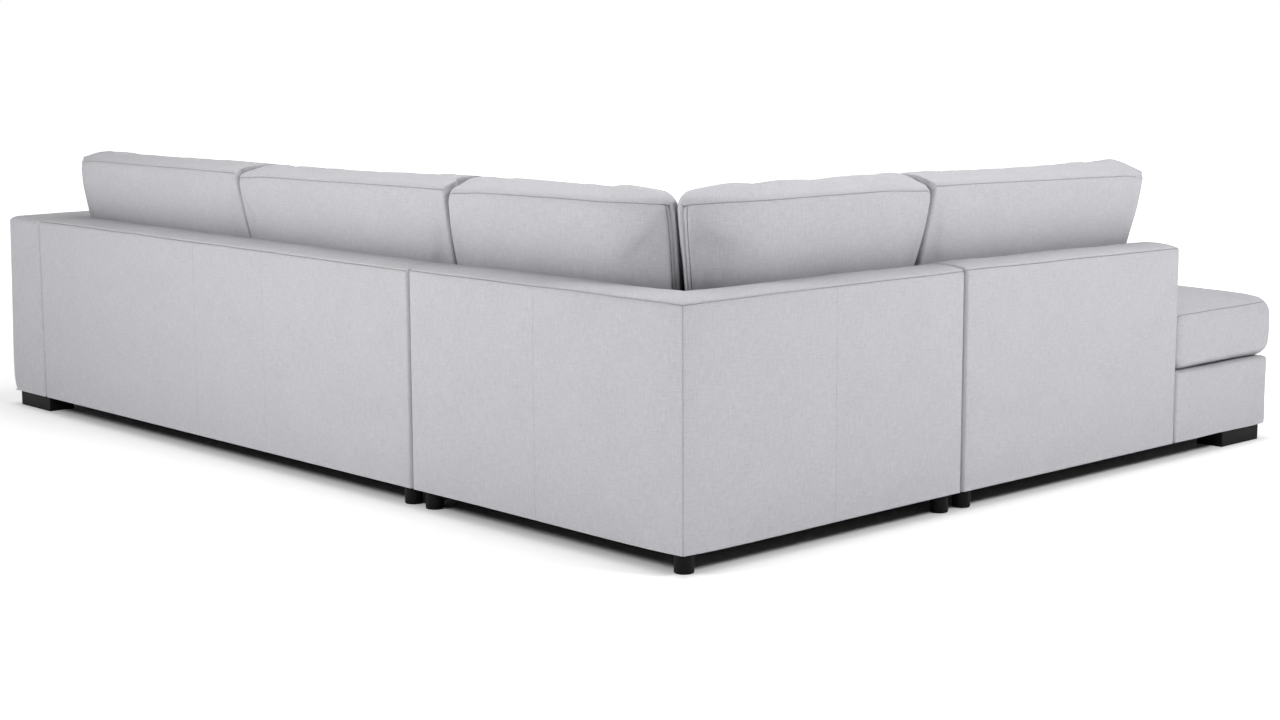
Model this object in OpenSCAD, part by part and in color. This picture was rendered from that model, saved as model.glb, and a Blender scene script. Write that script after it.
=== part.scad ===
// Corner sofa in three upholstered modules: a two-seat module with one arm, a corner module
// and an open-ended chaise module. Each has its own timber frame, springs, padding and covers,
// and carries loose seat and back cushions.
// Everything is drawn from the outer back corner of the sofa at floor level: x runs along the
// long wing, y runs backwards, so the short wing lies along -y. The whole sofa is then moved so
// that its footprint is centred on the origin. Lengths are in millimetres.

/* [Footprint] */
// Long wing, from the outer corner to the outside of the arm
long_side = 3380; // [3000:10:3800]
// Short wing, from the outer corner to the end of the chaise base
short_side = 2556; // [2400:2:2900]
// Corner module along the long wing, which is also the width of the chaise
corner_long = 1070; // [980:5:1200]
// Corner module along the short wing, which is also the depth of the long wing
corner_short = 1046; // [960:5:1200]
// Distance from the outer corner to the end of the chaise's back wall
wall_end = 2055; // [1950:5:2200]
// Space between neighbouring modules
module_gap = 6; // [6:0.5:10]

/* [Heights] */
// Height of the feet, up to the underside of the modules
foot_h = 50; // [40:1:90]
// Height of the seat deck over the floor
deck_top = 265; // [240:1:310]
// Height of the back walls and the arm over the floor
wall_top = 655; // [600:5:720]

/* [Walls and arm] */
// Thickness of a padded back wall
wall_t = 152; // [140:1:190]
// Width of the padded arm
arm_w = 230; // [180:5:280]
// Radius of the long top edges of the walls and the arm
wall_round = 30; // [22:1:40]
// Radius of the walls' outer top edges, where their panels are sewn together
seam_round = 14; // [8:1:24]
// Radius of the free ends of the walls and the arm
end_round = 26; // [18:1:36]
// Radius of the edges where modules meet and at the outer corner
joint_round = 7; // [4:1:12]
// Rise of the domed top between its long edges
wall_crown = 5; // [2:1:10]

/* [Upholstery] */
// Thickness of the cover fabric with its lining
fabric_t = 3; // [2:0.5:5]
// Thickness of the foam on the walls and the arm
wall_foam = 15; // [10:1:22]
// Thickness of the foam on the sides of the seat base
side_foam = 12; // [8:1:18]
// Thickness of the foam on the seat deck
deck_foam = 22; // [14:1:30]
// Radius of the top edge of the seat base
base_round = 14; // [8:1:20]
// Thickness of the black cloth under the modules
dust_t = 1.5; // [1:0.5:3]

/* [Frames] */
// Thickness of the timber boards
board_t = 25; // [18:1:30]
// Greatest spacing of posts and stretchers
post_spacing = 520; // [400:10:620]
// Height of the stretchers at the bottom of a base frame
stretcher_h = 60; // [40:5:90]
// Side of the corner blocks in a base frame
block_side = 110; // [100:5:140]
// Thickness of the hardboard lining
lining_t = 3; // [2:0.5:5]
// Width of a strip of elastic webbing
web_w = 50; // [40:5:70]
// Thickness of the webbing
web_t = 1.5; // [1:0.5:3]
// Space between the strips of webbing
web_space = 95; // [70:5:140]

/* [Springs] */
// Diameter of the spring wire
wire_d = 4; // [3:0.5:5]
// Width of a zigzag spring
spring_w = 52; // [46:1:64]
// Distance from one bar of a zigzag spring to the next
spring_pitch = 32; // [28:1:40]
// Distance between the springs of a seat
spring_spacing = 200; // [150:10:260]
// Width of a spring clip
clip_w = 14; // [10:1:18]
// Depth of a spring clip over its rail
clip_l = 14; // [12:1:16]
// Thickness of the steel of a spring clip
clip_t = 1.2; // [0.8:0.1:2]
// Play of the wire in its clip
clip_play = 0.2; // [0.1:0.1:0.4]

/* [Seat cushions] */
// Thickness of a seat cushion at its edge
seat_t = 182; // [130:2:210]
// Rise of a seat cushion's top from its edge to its middle
seat_crown = 12; // [6:1:30]
// Radius of a seat cushion's long edges
seat_round = 30; // [20:1:40]
// Distance that the seat cushions stand out over the front of the base
seat_overhang = 34; // [10:1:40]
// Space round a seat cushion
seat_space = 3; // [1:0.5:8]
// Depth that a cushion's sides are drawn in between its corners
side_draw = 4; // [2:1:8]
// Space between the chaise cushion and the end of the back wall
hook_space = 10; // [4:1:20]

/* [Back cushions] */
// Thickness of a back cushion, measured level
back_t = 205; // [160:5:260]
// Height of a back cushion from the seat to its top seam
back_h = 404; // [360:4:480]
// Rise of a back cushion's top from its seam to its crest
back_crown = 34; // [12:1:40]
// Swell of a back cushion's front
back_swell = 26; // [10:1:40]
// Lean of a back cushion over the wall, in degrees
back_lean = 16; // [8:1:22]
// Radius of a back cushion's long edges
back_round = 30; // [20:1:40]
// Radius of a back cushion's ends
back_end_round = 34; // [20:1:45]
// Space between neighbouring back cushions
back_space = 4; // [2:0.5:10]
// Width of the gap between the two cushions that meet in the corner
mitre_gap = 16; // [8:1:30]
// Distance of that gap from the diagonal of the corner, measured along the wings
mitre_shift = 10; // [0:1:20]
// Bare length of wall past the last back cushion of the chaise
bare_wall = 40; // [20:2:120]
// Bare length of wall between the arm and the first back cushion
bare_arm = 70; // [4:2:120]
// Clearance between a loose cushion and what it rests on
rest_gap = 0.4; // [0.3:0.1:1]

/* [Feet] */
// Diameter of a round foot
round_foot_d = 50; // [40:1:70]
// Distance from a module's outer faces to the centre of a round foot
round_foot_inset = 38; // [36:1:60]
// Distance from the corner module's ends to the centre of a round foot
corner_foot_inset = 50; // [36:1:80]
// Length of a block foot
block_foot_l = 206; // [140:2:240]
// Width of a block foot
block_foot_w = 90; // [60:5:110]
// Distance from a module's outer faces to a block foot
block_foot_inset = 10; // [6:1:20]
// Distance from the arm's outer side to the end of a block foot
arm_foot_end = 30; // [10:1:60]
// Distance from the end of the chaise to the end of a block foot
chaise_foot_end = 20; // [10:1:60]
// Rounding of the edges of the feet
foot_round = 3; // [1:0.5:5]

/* [Hardware] */
// Diameter of the bolts
bolt_d = 8; // [6:1:10]
// Clearance round a bolt or a screw
bolt_play = 0.2; // [0.1:0.1:0.4]
// Length of a foot bolt inside its foot
foot_bolt_in = 22; // [15:1:30]
// Diameter of the bracket screws
screw_d = 4.5; // [3:0.5:6]
// Length of the bracket screws
screw_l = 32; // [28:1:40]
// Thickness of the steel of the module brackets
bracket_t = 2; // [1.5:0.1:2.4]
// Width of the tongue of a module bracket
tongue_w = 40; // [30:2:60]
// Height of the bridge that a tongue drops behind
bridge_h = 40; // [30:2:60]

/* [Hidden] */
$fn = 48;

fabric_color = [0.76, 0.77, 0.79];
foam_color = [0.93, 0.88, 0.70];
timber_color = [0.80, 0.66, 0.47];
lining_color = [0.50, 0.37, 0.24];
web_color = [0.20, 0.20, 0.22];
black_color = [0.05, 0.05, 0.05];
steel_color = [0.62, 0.63, 0.66];

// Cuts run this far past the faces that they open
past = 1;

// Depth of the upholstery over a timber face of a wall
skin = fabric_t + wall_foam;
// Underside of the timber frames, on the black cloth
frame_z = foot_h + dust_t;
// Height taken by the springs and their clips on the rails
spring_zone = wire_d + clip_play + 2 * clip_t;
// Top of the base frames' rails
rail_top = deck_top - fabric_t - deck_foam - spring_zone;
// Depth of the upholstery over a timber face of a base
base_skin = fabric_t + side_foam;

// Ends of the modules along each wing
half_gap = module_gap / 2;
corner_x = corner_long - half_gap;
corner_y = corner_short - half_gap;
long_x = corner_long + half_gap;
chaise_y = corner_short + half_gap;
arm_x = long_side - arm_w;

// Back cushions: the plane of the rear face touches the rounded inner edge of the wall
seat_top = deck_top + rest_gap + seat_t + seat_crown;
edge_t = wall_t - wall_round;
edge_z = wall_top - wall_round;
function rear_face(z) = edge_t + (wall_round + rest_gap - (z - edge_z) * sin(back_lean)) / cos(back_lean);

// Shared shapes

// A rectangle from the origin with a radius at each corner: low start, low end, high end, high start
module rounded_rect(w, h, radii) {
    difference() {
        square([w, h]);
        corner_cut(radii[0]);
        translate([w, 0]) mirror([1, 0]) corner_cut(radii[1]);
        translate([w, h]) rotate(180) corner_cut(radii[2]);
        translate([0, h]) mirror([0, 1]) corner_cut(radii[3]);
    }
}

// What a radius takes off a corner at the origin
module corner_cut(r) {
    if (r > 0) difference() {
        translate([-past, -past]) square(r + past);
        translate([r, r]) circle(r);
    }
}

// A wall's outside along +x, its outer face on y = 0 and its inner face on y = -thick, from the
// underside of the module to the domed top. The ends are radii of the upright edges and top
// corners at x = 0 and x = length, outer_r is the radius of the outer top edge, and inset moves
// every face but the underside inwards.
module wall_body(length, thick, start_r, end_r, outer_r, inset = 0) {
    l = length - 2 * inset;
    t = thick - 2 * inset;
    h = wall_top - inset - foot_h;
    top_r = max(wall_round - inset, 1);
    o_r = max(outer_r - inset, 1);
    s_r = max(start_r - inset, 1);
    e_r = max(end_r - inset, 1);
    dome_r = (pow(thick / 2, 2) + pow(wall_crown, 2)) / (2 * wall_crown) - inset;
    translate([inset, -inset, foot_h]) intersection() {
        rotate([90, 0, 90]) linear_extrude(l) translate([-t, 0]) intersection() {
            rounded_rect(t, h, [0, 0, o_r, top_r]);
            translate([t / 2, h - dome_r]) circle(dome_r, $fn = 180);
        }
        rotate([90, 0, 0]) linear_extrude(t) rounded_rect(l, h, [0, 0, e_r, s_r]);
        translate([0, -t, 0]) linear_extrude(h) rounded_rect(l, t, [s_r, e_r, e_r, s_r]);
    }
}

// The timber's space in a wall: a plain box that the foam is shaped round
module wall_core(length, thick) {
    translate([skin, -thick + skin, foot_h - past])
        cube([length - 2 * skin, thick - 2 * skin, wall_top - wall_crown - skin - foot_h + past]);
}

// Opening in a wall's inner upholstery below the seat deck, where the timbers meet the base
module below_deck(length, thick) {
    translate([skin, -thick - past, foot_h - past])
        cube([length - 2 * skin, skin + past, deck_top - foot_h + past]);
}

module wall_cover(length, thick, start_r, end_r, outer_r) {
    difference() {
        wall_body(length, thick, start_r, end_r, outer_r);
        translate([0, 0, -past]) wall_body(length, thick, start_r, end_r, outer_r, fabric_t);
        wall_body(length, thick, start_r, end_r, outer_r, fabric_t);
        below_deck(length, thick);
    }
}

module wall_padding(length, thick, start_r, end_r, outer_r) {
    difference() {
        wall_body(length, thick, start_r, end_r, outer_r, fabric_t);
        wall_core(length, thick);
        below_deck(length, thick);
    }
}

// Equal divisions of a length at no more than the given spacing
function divisions(length, spacing) = max(1, ceil(length / spacing));

// A wall's timber frame: a sill that takes the feet, posts, a top rail, a middle rail and the
// joint board that is bolted to the base. back_gap and front_gap are the linings on its faces.
module wall_frame(length, thick, back_gap, front_gap, mid_rail = true) {
    l = length - 2 * skin;
    depth = thick - 2 * skin - back_gap - front_gap;
    top_z = wall_top - wall_crown - skin;
    posts = divisions(l, post_spacing);
    translate([skin, -skin - back_gap, frame_z]) {
        translate([0, -(thick - skin - back_gap), 0]) cube([l, thick - skin - back_gap, board_t]);
        translate([0, -depth, top_z - board_t - frame_z]) cube([l, depth, board_t]);
        translate([0, -(thick - skin - back_gap), 0])
            cube([l, board_t, rail_top - frame_z]);
        for (i = [0:posts]) translate([i * (l - board_t) / posts, -depth, 0])
            cube([board_t, depth, top_z - frame_z]);
        for (i = [0:posts]) translate([i * (l - board_t) / posts, -(thick - skin - back_gap), 0])
            cube([board_t, thick - skin - back_gap, rail_top - frame_z]);
        if (mid_rail) translate([0, -depth, deck_top + (top_z - deck_top) / 2 - frame_z])
            cube([l, board_t, stretcher_h]);
    }
}

// Hardboard over the outside of a wall's frame
module wall_lining(length) {
    translate([skin, -skin - lining_t, frame_z])
        cube([length - 2 * skin, lining_t, wall_top - wall_crown - skin - frame_z]);
}

// Upright strips of webbing on the seat side of a wall's frame, above the deck
module wall_webbing(from, to) {
    strips = max(1, floor((to - from - web_space) / (web_w + web_space)));
    step = (to - from) / strips;
    for (i = [0:strips - 1]) translate([from + (i + 0.5) * step - web_w / 2, -wall_t + skin, rail_top])
        cube([web_w, web_t, wall_top - wall_crown - skin - rail_top]);
}

// A base frame from corner to corner of its timbers: rails on four sides, stretchers and blocks
module ladder_frame(x0, x1, y0, y1, seats = 1) {
    w = x1 - x0;
    d = y0 - y1;
    h = rail_top - frame_z;
    translate([x0, y1, frame_z]) {
        difference() {
            cube([w, d, h]);
            translate([board_t, board_t, -past]) cube([w - 2 * board_t, d - 2 * board_t, h + 2 * past]);
        }
        stretchers = divisions(w, post_spacing);
        for (i = [1:1:stretchers - 1]) translate([i * w / stretchers - board_t / 2, 0, 0])
            cube([board_t, d, stretcher_h]);
        for (i = [1:1:seats - 1]) translate([i * w / seats - board_t / 2, 0, 0])
            cube([board_t, d, h]);
        for (x = [0, 1], y = [0, 1]) translate([x * w, y * d, 0]) mirror([x, 0, 0]) mirror([0, y, 0])
            linear_extrude(stretcher_h)
            polygon([[0, 0], [block_side + board_t, 0], [block_side + board_t, board_t],
                [board_t, block_side + board_t], [0, block_side + board_t]]);
    }
}

// Bases

// A seat base in plan [x0, x1, rear y, front y] with a radius for each side in the same order.
// A side with no radius is open and stays where it is, and inset moves the others inwards.
module base_body(plan, radii, inset = 0) {
    x0 = plan[0] + (radii[0] > 0 ? inset : 0);
    x1 = plan[1] - (radii[1] > 0 ? inset : 0);
    y0 = plan[2] - (radii[2] > 0 ? inset : 0);
    y1 = plan[3] + (radii[3] > 0 ? inset : 0);
    r = [for (side = radii) side > 0 ? max(side - inset, 1) : 0];
    w = x1 - x0;
    d = y0 - y1;
    h = deck_top - inset - foot_h;
    translate([x0, y1, foot_h]) intersection() {
        translate([0, d, 0]) rotate([90, 0, 0]) linear_extrude(d) rounded_rect(w, h, [0, 0, r[1], r[0]]);
        rotate([90, 0, 90]) linear_extrude(w) rounded_rect(d, h, [0, 0, r[2], r[3]]);
        linear_extrude(h)
            rounded_rect(w, d, [min(r[3], r[0]), min(r[3], r[1]), min(r[2], r[1]), min(r[2], r[0])]);
    }
}

// What is inside a base's cover, past its open sides and its underside
module base_hollow(plan, radii) {
    open = base_skin + past;
    wide = [plan[0] - (radii[0] > 0 ? 0 : open), plan[1] + (radii[1] > 0 ? 0 : open),
        plan[2] + (radii[2] > 0 ? 0 : open), plan[3] - (radii[3] > 0 ? 0 : open)];
    base_body(wide, radii, fabric_t);
    translate([0, 0, -past]) base_body(wide, radii, fabric_t);
}

// The timbers' and springs' space in a base
module base_core(plan, radii) {
    open = base_skin + past;
    x0 = plan[0] + (radii[0] > 0 ? base_skin : -open);
    x1 = plan[1] - (radii[1] > 0 ? base_skin : -open);
    y0 = plan[2] - (radii[2] > 0 ? base_skin : -open);
    y1 = plan[3] + (radii[3] > 0 ? base_skin : -open);
    translate([x0, y1, foot_h - past]) cube([x1 - x0, y0 - y1, rail_top + spring_zone - foot_h + past]);
}

module base_cover_body(plan, radii) {
    difference() {
        base_body(plan, radii);
        base_hollow(plan, radii);
    }
}

module base_padding_body(plan, radii) {
    difference() {
        base_body(plan, radii, fabric_t);
        base_core(plan, radii);
    }
}

// Bolts that join a wall's joint board to the rail of the base in front of it

joint_bolt_z = frame_z + stretcher_h + (rail_top - frame_z - stretcher_h) / 2;
washer_t = 2;
head_h = 0.65 * bolt_d;
nut_h = 0.8 * bolt_d;
hex_d = 1.85 * bolt_d;

// Midway between the posts of a wall, on its inner face and pointing into the wall
module joint_bolt_places(length, thick) {
    l = length - 2 * skin - board_t;
    posts = divisions(length - 2 * skin, post_spacing);
    for (i = [0:posts - 1]) translate([skin + board_t / 2 + (i + 0.5) * l / posts, -thick, joint_bolt_z])
        rotate([-90, 0, 0]) children();
}

module joint_bolt() {
    washer_d = 3 * bolt_d;
    translate([0, 0, -board_t - washer_t - head_h])
        cylinder(d = bolt_d, h = 2 * (board_t + washer_t) + head_h + nut_h + bolt_d / 2);
    translate([0, 0, -board_t - washer_t]) cylinder(d = washer_d, h = washer_t);
    translate([0, 0, -board_t - washer_t - head_h]) cylinder(d = hex_d, h = head_h, $fn = 6);
    translate([0, 0, board_t]) cylinder(d = washer_d, h = washer_t);
    translate([0, 0, board_t + washer_t]) cylinder(d = hex_d, h = nut_h, $fn = 6);
}

module joint_bolt_holes(length, thick) {
    joint_bolt_places(length, thick) translate([0, 0, -board_t - past])
        cylinder(d = bolt_d + 2 * bolt_play, h = 2 * (board_t + past));
}

// Brackets that hook neighbouring modules together. Each is drawn about the middle of the gap,
// with the corner module's face on x = -half_gap and its neighbour's on x = half_gap.

bracket_z = frame_z + stretcher_h;
pocket = bracket_t + 2 * bolt_play;
flange_w = 18;
plate_h = 44;
shoulder = 4;
screw_head_d = 2 * screw_d;
screw_head_h = 0.5 * screw_d;

// Where the two brackets of a joint sit, as shares of the modules' depth
bracket_shares = [0.38, 0.8];

module bracket_places_on(joint, width) {
    for (share = bracket_shares) translate([joint, -share * width, bracket_z]) children();
}

module bracket_places() { bracket_places_on(corner_long, corner_short) children(); }

module all_bracket_places() {
    bracket_places() children();
    on_short_side() bracket_places_on(corner_short, corner_long) children();
}

// Screw places point out of the face that the bracket is screwed to
module bridge_screw_places() {
    for (y = [-1, 1])
        translate([-half_gap + bracket_t, y * ((tongue_w + flange_w) / 2 + pocket), bridge_h / 2])
        rotate([0, 90, 0]) children();
}

module tongue_screw_places() {
    for (y = [-1, 1]) translate([half_gap - bracket_t, y * tongue_w / 4, bridge_h + shoulder + plate_h / 2])
        rotate([0, -90, 0]) children();
}

module screw_hole() {
    translate([0, 0, -screw_l - past]) cylinder(d = screw_d + 2 * bolt_play, h = screw_l + 2 * past);
}

module bracket_screw() {
    translate([0, 0, -screw_l]) cylinder(d = screw_d, h = screw_l + screw_head_h);
    cylinder(d = screw_head_d, h = screw_head_h);
}

// A strap that stands off the corner module's face, screwed down at both ends
module bridge() {
    half = tongue_w / 2 + 2 * bolt_play;
    difference() {
        union() {
            for (y = [-1, 1]) translate([-half_gap, y > 0 ? half : -half - flange_w - bracket_t, 0])
                cube([bracket_t, flange_w + bracket_t, bridge_h]);
            for (y = [-1, 1]) translate([-half_gap, y > 0 ? half : -half - bracket_t, 0])
                cube([pocket + bracket_t, bracket_t, bridge_h]);
            translate([-half_gap + pocket, -half - bracket_t, 0])
                cube([bracket_t, 2 * (half + bracket_t), bridge_h]);
        }
        bridge_screw_places() screw_hole();
    }
}

// A joggled plate on the neighbour's face, whose tongue drops behind the bridge
module tongue() {
    difference() {
        union() {
            translate([half_gap - bracket_t, -tongue_w / 2, bridge_h + shoulder])
                cube([bracket_t, tongue_w, plate_h]);
            translate([-half_gap + bolt_play, -tongue_w / 2, bridge_h + shoulder])
                cube([module_gap - bolt_play, tongue_w, bracket_t]);
            translate([-half_gap + bolt_play, -tongue_w / 2, shoulder])
                cube([bracket_t, tongue_w, bridge_h + bracket_t]);
        }
        tongue_screw_places() screw_hole();
    }
}

// One zigzag spring along +x from the bar at x = 0, with its underside on z = 0. The radius of
// the bends is a whole number of thousandths, so that each bend meets its bars exactly.
module spring(length) {
    bars = round(length / spring_pitch);
    r = round(1000 * length / bars / 2) / 1000;
    straight = spring_w - 2 * r;
    linear_extrude(wire_d) {
        square([wire_d, straight], center = true);
        zigzag(bars, r, straight);
    }
}

// The bends of a zigzag spring with the bar after each, every one turned over against the last
module zigzag(count, r, straight) {
    translate([r, straight / 2]) half_bend(r);
    translate([2 * r, 0]) {
        square([wire_d, straight], center = true);
        if (count > 1) mirror([0, 1]) zigzag(count - 1, r, straight);
    }
}

// The bend of a zigzag spring, its two ends on the x axis
module half_bend(r) {
    difference() {
        circle(r + wire_d / 2);
        circle(r - wire_d / 2);
        translate([-r - wire_d, -2 * r - wire_d]) square([2 * (r + wire_d), 2 * r + wire_d]);
    }
}

// A folded steel clip that is open towards +x and holds a bar lying at x = 0
module clip() {
    hold = wire_d / 2 + clip_play;
    difference() {
        translate([hold - clip_l, -clip_w / 2, 0]) cube([clip_l, clip_w, spring_zone]);
        translate([-hold, -clip_w / 2 - past, clip_t])
            cube([clip_l, clip_w + 2 * past, wire_d + clip_play]);
    }
}

// Places for a row of springs between two rails, evenly spread over a width
module spring_row(x0, x1) {
    w = x1 - x0;
    n = max(1, round(w / spring_spacing));
    for (i = [0:n - 1]) translate([x0 + (i + 0.5) * w / n, 0, rail_top]) children();
}

// Springs from a rear rail at y0 to a front rail at y1
module spring_between(y0, y1) {
    translate([0, y0 - board_t / 2, clip_t + clip_play / 2]) rotate(-90) spring(y0 - y1 - board_t);
}

module clips_between(y0, y1) {
    translate([0, y0 - board_t / 2, 0]) rotate(-90) clip();
    translate([0, y1 + board_t / 2, 0]) rotate(90) clip();
}

// A foot's bolt, standing on z = 0 at its lower end
module foot_bolt(play = 0) {
    cylinder(d = bolt_d + 2 * play, h = foot_bolt_in + dust_t + board_t + play);
}

// What the bolts of all feet take out of the timbers, the black cloth and the feet
module foot_bolt_holes() {
    all_bolt_places() translate([0, 0, foot_h - foot_bolt_in - bolt_play]) foot_bolt(bolt_play);
}

module round_foot() {
    difference() {
        rotate_extrude() {
            translate([0, foot_round]) square([round_foot_d / 2, foot_h - foot_round]);
            square([round_foot_d / 2 - foot_round, foot_h]);
            translate([round_foot_d / 2 - foot_round, foot_round]) circle(foot_round);
        }
        translate([0, 0, foot_h - foot_bolt_in - bolt_play]) foot_bolt(bolt_play);
    }
}

// A block foot with its long side on x, its rear face on y = 0 and its middle at x = 0
module block_foot() {
    difference() {
        translate([-block_foot_l / 2, -block_foot_w, 0]) linear_extrude(foot_h)
            rounded_rect(block_foot_l, block_foot_w, [1, 1, 1, 1] * foot_round);
        for (x = [-1, 1])
            translate([x * block_foot_l / 4, -block_foot_w / 2, foot_h - foot_bolt_in - bolt_play])
            foot_bolt(bolt_play);
    }
}

// Cushions

// Points of a quarter circle, as [across, up]
function quarter(cx, cy, r, from) =
    [for (i = [0:3]) [cx + r * cos(from + 30 * i), cy + r * sin(from + 30 * i)]];

// Points strictly between two others
function between(p, q, n) = [for (i = [1:1:n]) p + (q - p) * i / (n + 1)];

// A rounded section about its middle, half sizes a across and b up
function section(a, b, r, across, up) = concat(
    quarter(a - r, b - r, r, 0), between([a - r, b], [r - a, b], across),
    quarter(r - a, b - r, r, 90), between([-a, b - r], [-a, r - b], up),
    quarter(r - a, r - b, r, 180), between([r - a, -b], [a - r, -b], across),
    quarter(a - r, r - b, r, 270), between([a, r - b], [a, b - r], up));

// Rings of a cushion along its length: [share of the way, distance from the start, from the end,
// shrink], round at both ends with radius r and evenly spread between
end_steps = 3;
function ring_stations(r, middles) = concat(
    [for (i = [0:end_steps]) let (f = 90 * (1 - i / end_steps)) [0, r * (1 - sin(f)), r * (1 - cos(f))]],
    [for (i = [1:1:middles]) [i / (middles + 1), r, 0]],
    [for (i = [end_steps:-1:0]) let (f = 90 * (1 - i / end_steps)) [1, r * (1 - sin(f)), r * (1 - cos(f))]]);

// A closed skin over rings of equal length, with flat fans of triangles on both ends
module loft(rings) {
    n = len(rings[0]);
    m = len(rings);
    sides = [for (k = [0:m - 2], i = [0:n - 1]) let (j = (i + 1) % n, a = k * n, b = a + n)
        each [[a + i, b + i, a + j], [a + j, b + i, b + j]]];
    start_cap = [for (i = [1:n - 2]) [0, i, i + 1]];
    end_cap = [for (i = [1:n - 2]) [(m - 1) * n, (m - 1) * n + i + 1, (m - 1) * n + i]];
    polyhedron([for (ring = rings) each ring], concat(sides, start_cap, end_cap), convexity = 6);
}

// 1 in the middle of a span from -1 to 1 and 0 at its ends
function hump(u) = 1 - u * u;

// The same, but staying near 1 over most of the span
function plateau(u) = 1 - pow(u, 4);

// A share that is 1 in the middle of a span and keeps a given part at its ends
function kept(part, u) = part + (1 - part) * plateau(u);
crown_kept = 0.9;
swell_kept = 0.5;

// How far a cushion's side is drawn in at height z of a section of half height b
function draw_in(z, b, r) = side_draw * max(0, hump(z / (b - r)));

// A back cushion along +x between two ends, with the wall behind it. Each end is [place, slope]:
// its x at the wall's outer face, and how much that grows with the distance from the face.
module back_cushion(start, end) {
    a = back_t / 2;
    b = back_h / 2;
    rings = [for (st = ring_stations(back_end_round, 5))
        let (way = st[0], shrink = st[2], run = 2 * way - 1)
        [for (p = section(a - shrink, b - shrink, max(back_round - shrink, 3), 2, 3))
            let (
                depth = -p[0],
                level = p[1] / b,
                pull = draw_in(p[1], b, back_end_round),
                swell = back_swell * max(depth / a, 0) * hump(level) * kept(swell_kept, run),
                rise = back_crown * max(level, 0) * hump(depth / a) * kept(crown_kept, run),
                z = seat_top + rest_gap + b + p[1] + rise,
                t = rear_face(z) + a + depth + swell,
                x0 = start[0] + start[1] * t,
                x1 = end[0] + end[1] * t)
            [way == 0 ? x0 + st[1] + pull : way == 1 ? x1 - st[1] - pull
                : (x0 + back_end_round) * (1 - way) + (x1 - back_end_round) * way, -t, z]]];
    loft(rings);
}

// Rise of a seat cushion's top at a place p in its section, for a place run along it
function seat_rise(p, a, b, run) = seat_crown * max(p[1] / b, 0) * plateau(p[0] / a) * kept(crown_kept, run);

// A seat cushion along +x on the deck, from x0 to x1 and from the rear y0 to the front y1
module seat_cushion(x0, x1, y0, y1) {
    a = (y0 - y1) / 2;
    b = seat_t / 2;
    rings = [for (st = ring_stations(seat_round, 4))
        let (way = st[0], shrink = st[2], run = 2 * way - 1)
        [for (p = section(a - shrink, b - shrink, max(seat_round - shrink, 3), 5, 1))
            let (pull = draw_in(p[1], b, seat_round))
            [way == 0 ? x0 + st[1] + pull : way == 1 ? x1 - st[1] - pull
                : (x0 + seat_round) * (1 - way) + (x1 - seat_round) * way,
             (y0 + y1) / 2 + p[0] - pull * p[0] / a,
             deck_top + rest_gap + b + p[1] + seat_rise(p, a, b, run)]]];
    loft(rings);
}

// The chaise's seat cushion along -y: narrow beside the back wall, and full width past its end
module hooked_cushion(x_in, x_out, x1, y0, y_step, y1) {
    b = seat_t / 2;
    turn = [for (i = [0:end_steps]) let (f = 90 * (1 - i / end_steps)) seat_round * [1 - sin(f), 1 - cos(f)]];
    past_step = y_step - past - seat_round;
    // Each station is [y, left edge, shrink]
    stations = concat(
        [for (q = turn) [y0 - q[0], x_in, q[1]]],
        [for (i = [1:1:3]) [y0 - seat_round + (y_step - y0 + seat_round) * i / 4, x_in, 0]],
        [[y_step, x_in, 0]],
        [for (q = turn) [y_step - past - q[0], x_out + q[1], 0]],
        [for (i = [1:1:2]) [past_step + (y1 + seat_round - past_step) * i / 3, x_out, 0]],
        [for (i = [end_steps:-1:0]) [y1 + turn[i][0], x_out, turn[i][1]]]);
    rings = [for (st = stations)
        let (left = st[1], a = (x1 - left) / 2, shrink = st[2], run = (2 * st[0] - y0 - y1) / (y0 - y1))
        [for (p = section(a - shrink, b - shrink, max(seat_round - shrink, 3), 5, 1))
            let (pull = draw_in(p[1], b, seat_round))
            [(left + x1) / 2 + p[0] - pull * p[0] / a,
             st[0] - (shrink > 0 ? sign(run) : 0) * pull,
             deck_top + rest_gap + b + p[1] + seat_rise(p, a, b, run)]]];
    loft(rings);
}

// Places of the modules' walls, from the outer corner

module on_long_wall() { translate([long_x, 0, 0]) children(); }
module on_arm() { translate([long_side, 0, 0]) rotate(-90) children(); }
// The short wing is the long wing mirrored over the diagonal of the corner
module on_short_side() { mirror([1, 1, 0]) children(); }
module on_chaise_wall() { on_short_side() translate([chaise_y, 0, 0]) children(); }

long_wall_l = arm_x - long_x;
arm_l = corner_short;
chaise_wall_l = wall_end - chaise_y;

// The half of the corner on the long wing's side of the diagonal
module long_half() {
    reach = 2 * corner_long;
    translate([0, 0, -past]) linear_extrude(wall_top + 2 * past)
        polygon([[-past, past], [reach, past], [reach, -reach]]);
}

// Black cloth under each module, inside the hem of its covers
module long_dust_sheet() {
    translate([long_x + fabric_t, -corner_short + fabric_t, foot_h])
        cube([long_side - long_x - 2 * fabric_t, corner_short - 2 * fabric_t, dust_t]);
}

module corner_dust_sheet() {
    translate([fabric_t, -corner_y + fabric_t, foot_h])
        cube([corner_x - 2 * fabric_t, corner_y - 2 * fabric_t, dust_t]);
}

module chaise_dust_sheet() {
    translate([fabric_t, -short_side + fabric_t, foot_h])
        cube([corner_long - 2 * fabric_t, short_side - chaise_y - 2 * fabric_t, dust_t]);
}

// Places of the feet: each is given as a place for a round foot or a block foot

module long_round_places() {
    for (y = [-round_foot_inset, -corner_short + round_foot_inset])
        translate([long_x + round_foot_inset, y, 0]) children();
}

module corner_round_places() {
    for (x = [round_foot_inset, corner_x - corner_foot_inset],
        y = [-round_foot_inset, -corner_y + corner_foot_inset]) translate([x, y, 0]) children();
}

module chaise_round_places() {
    for (x = [round_foot_inset, corner_long - round_foot_inset])
        translate([x, -chaise_y - round_foot_inset, 0]) children();
}

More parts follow.
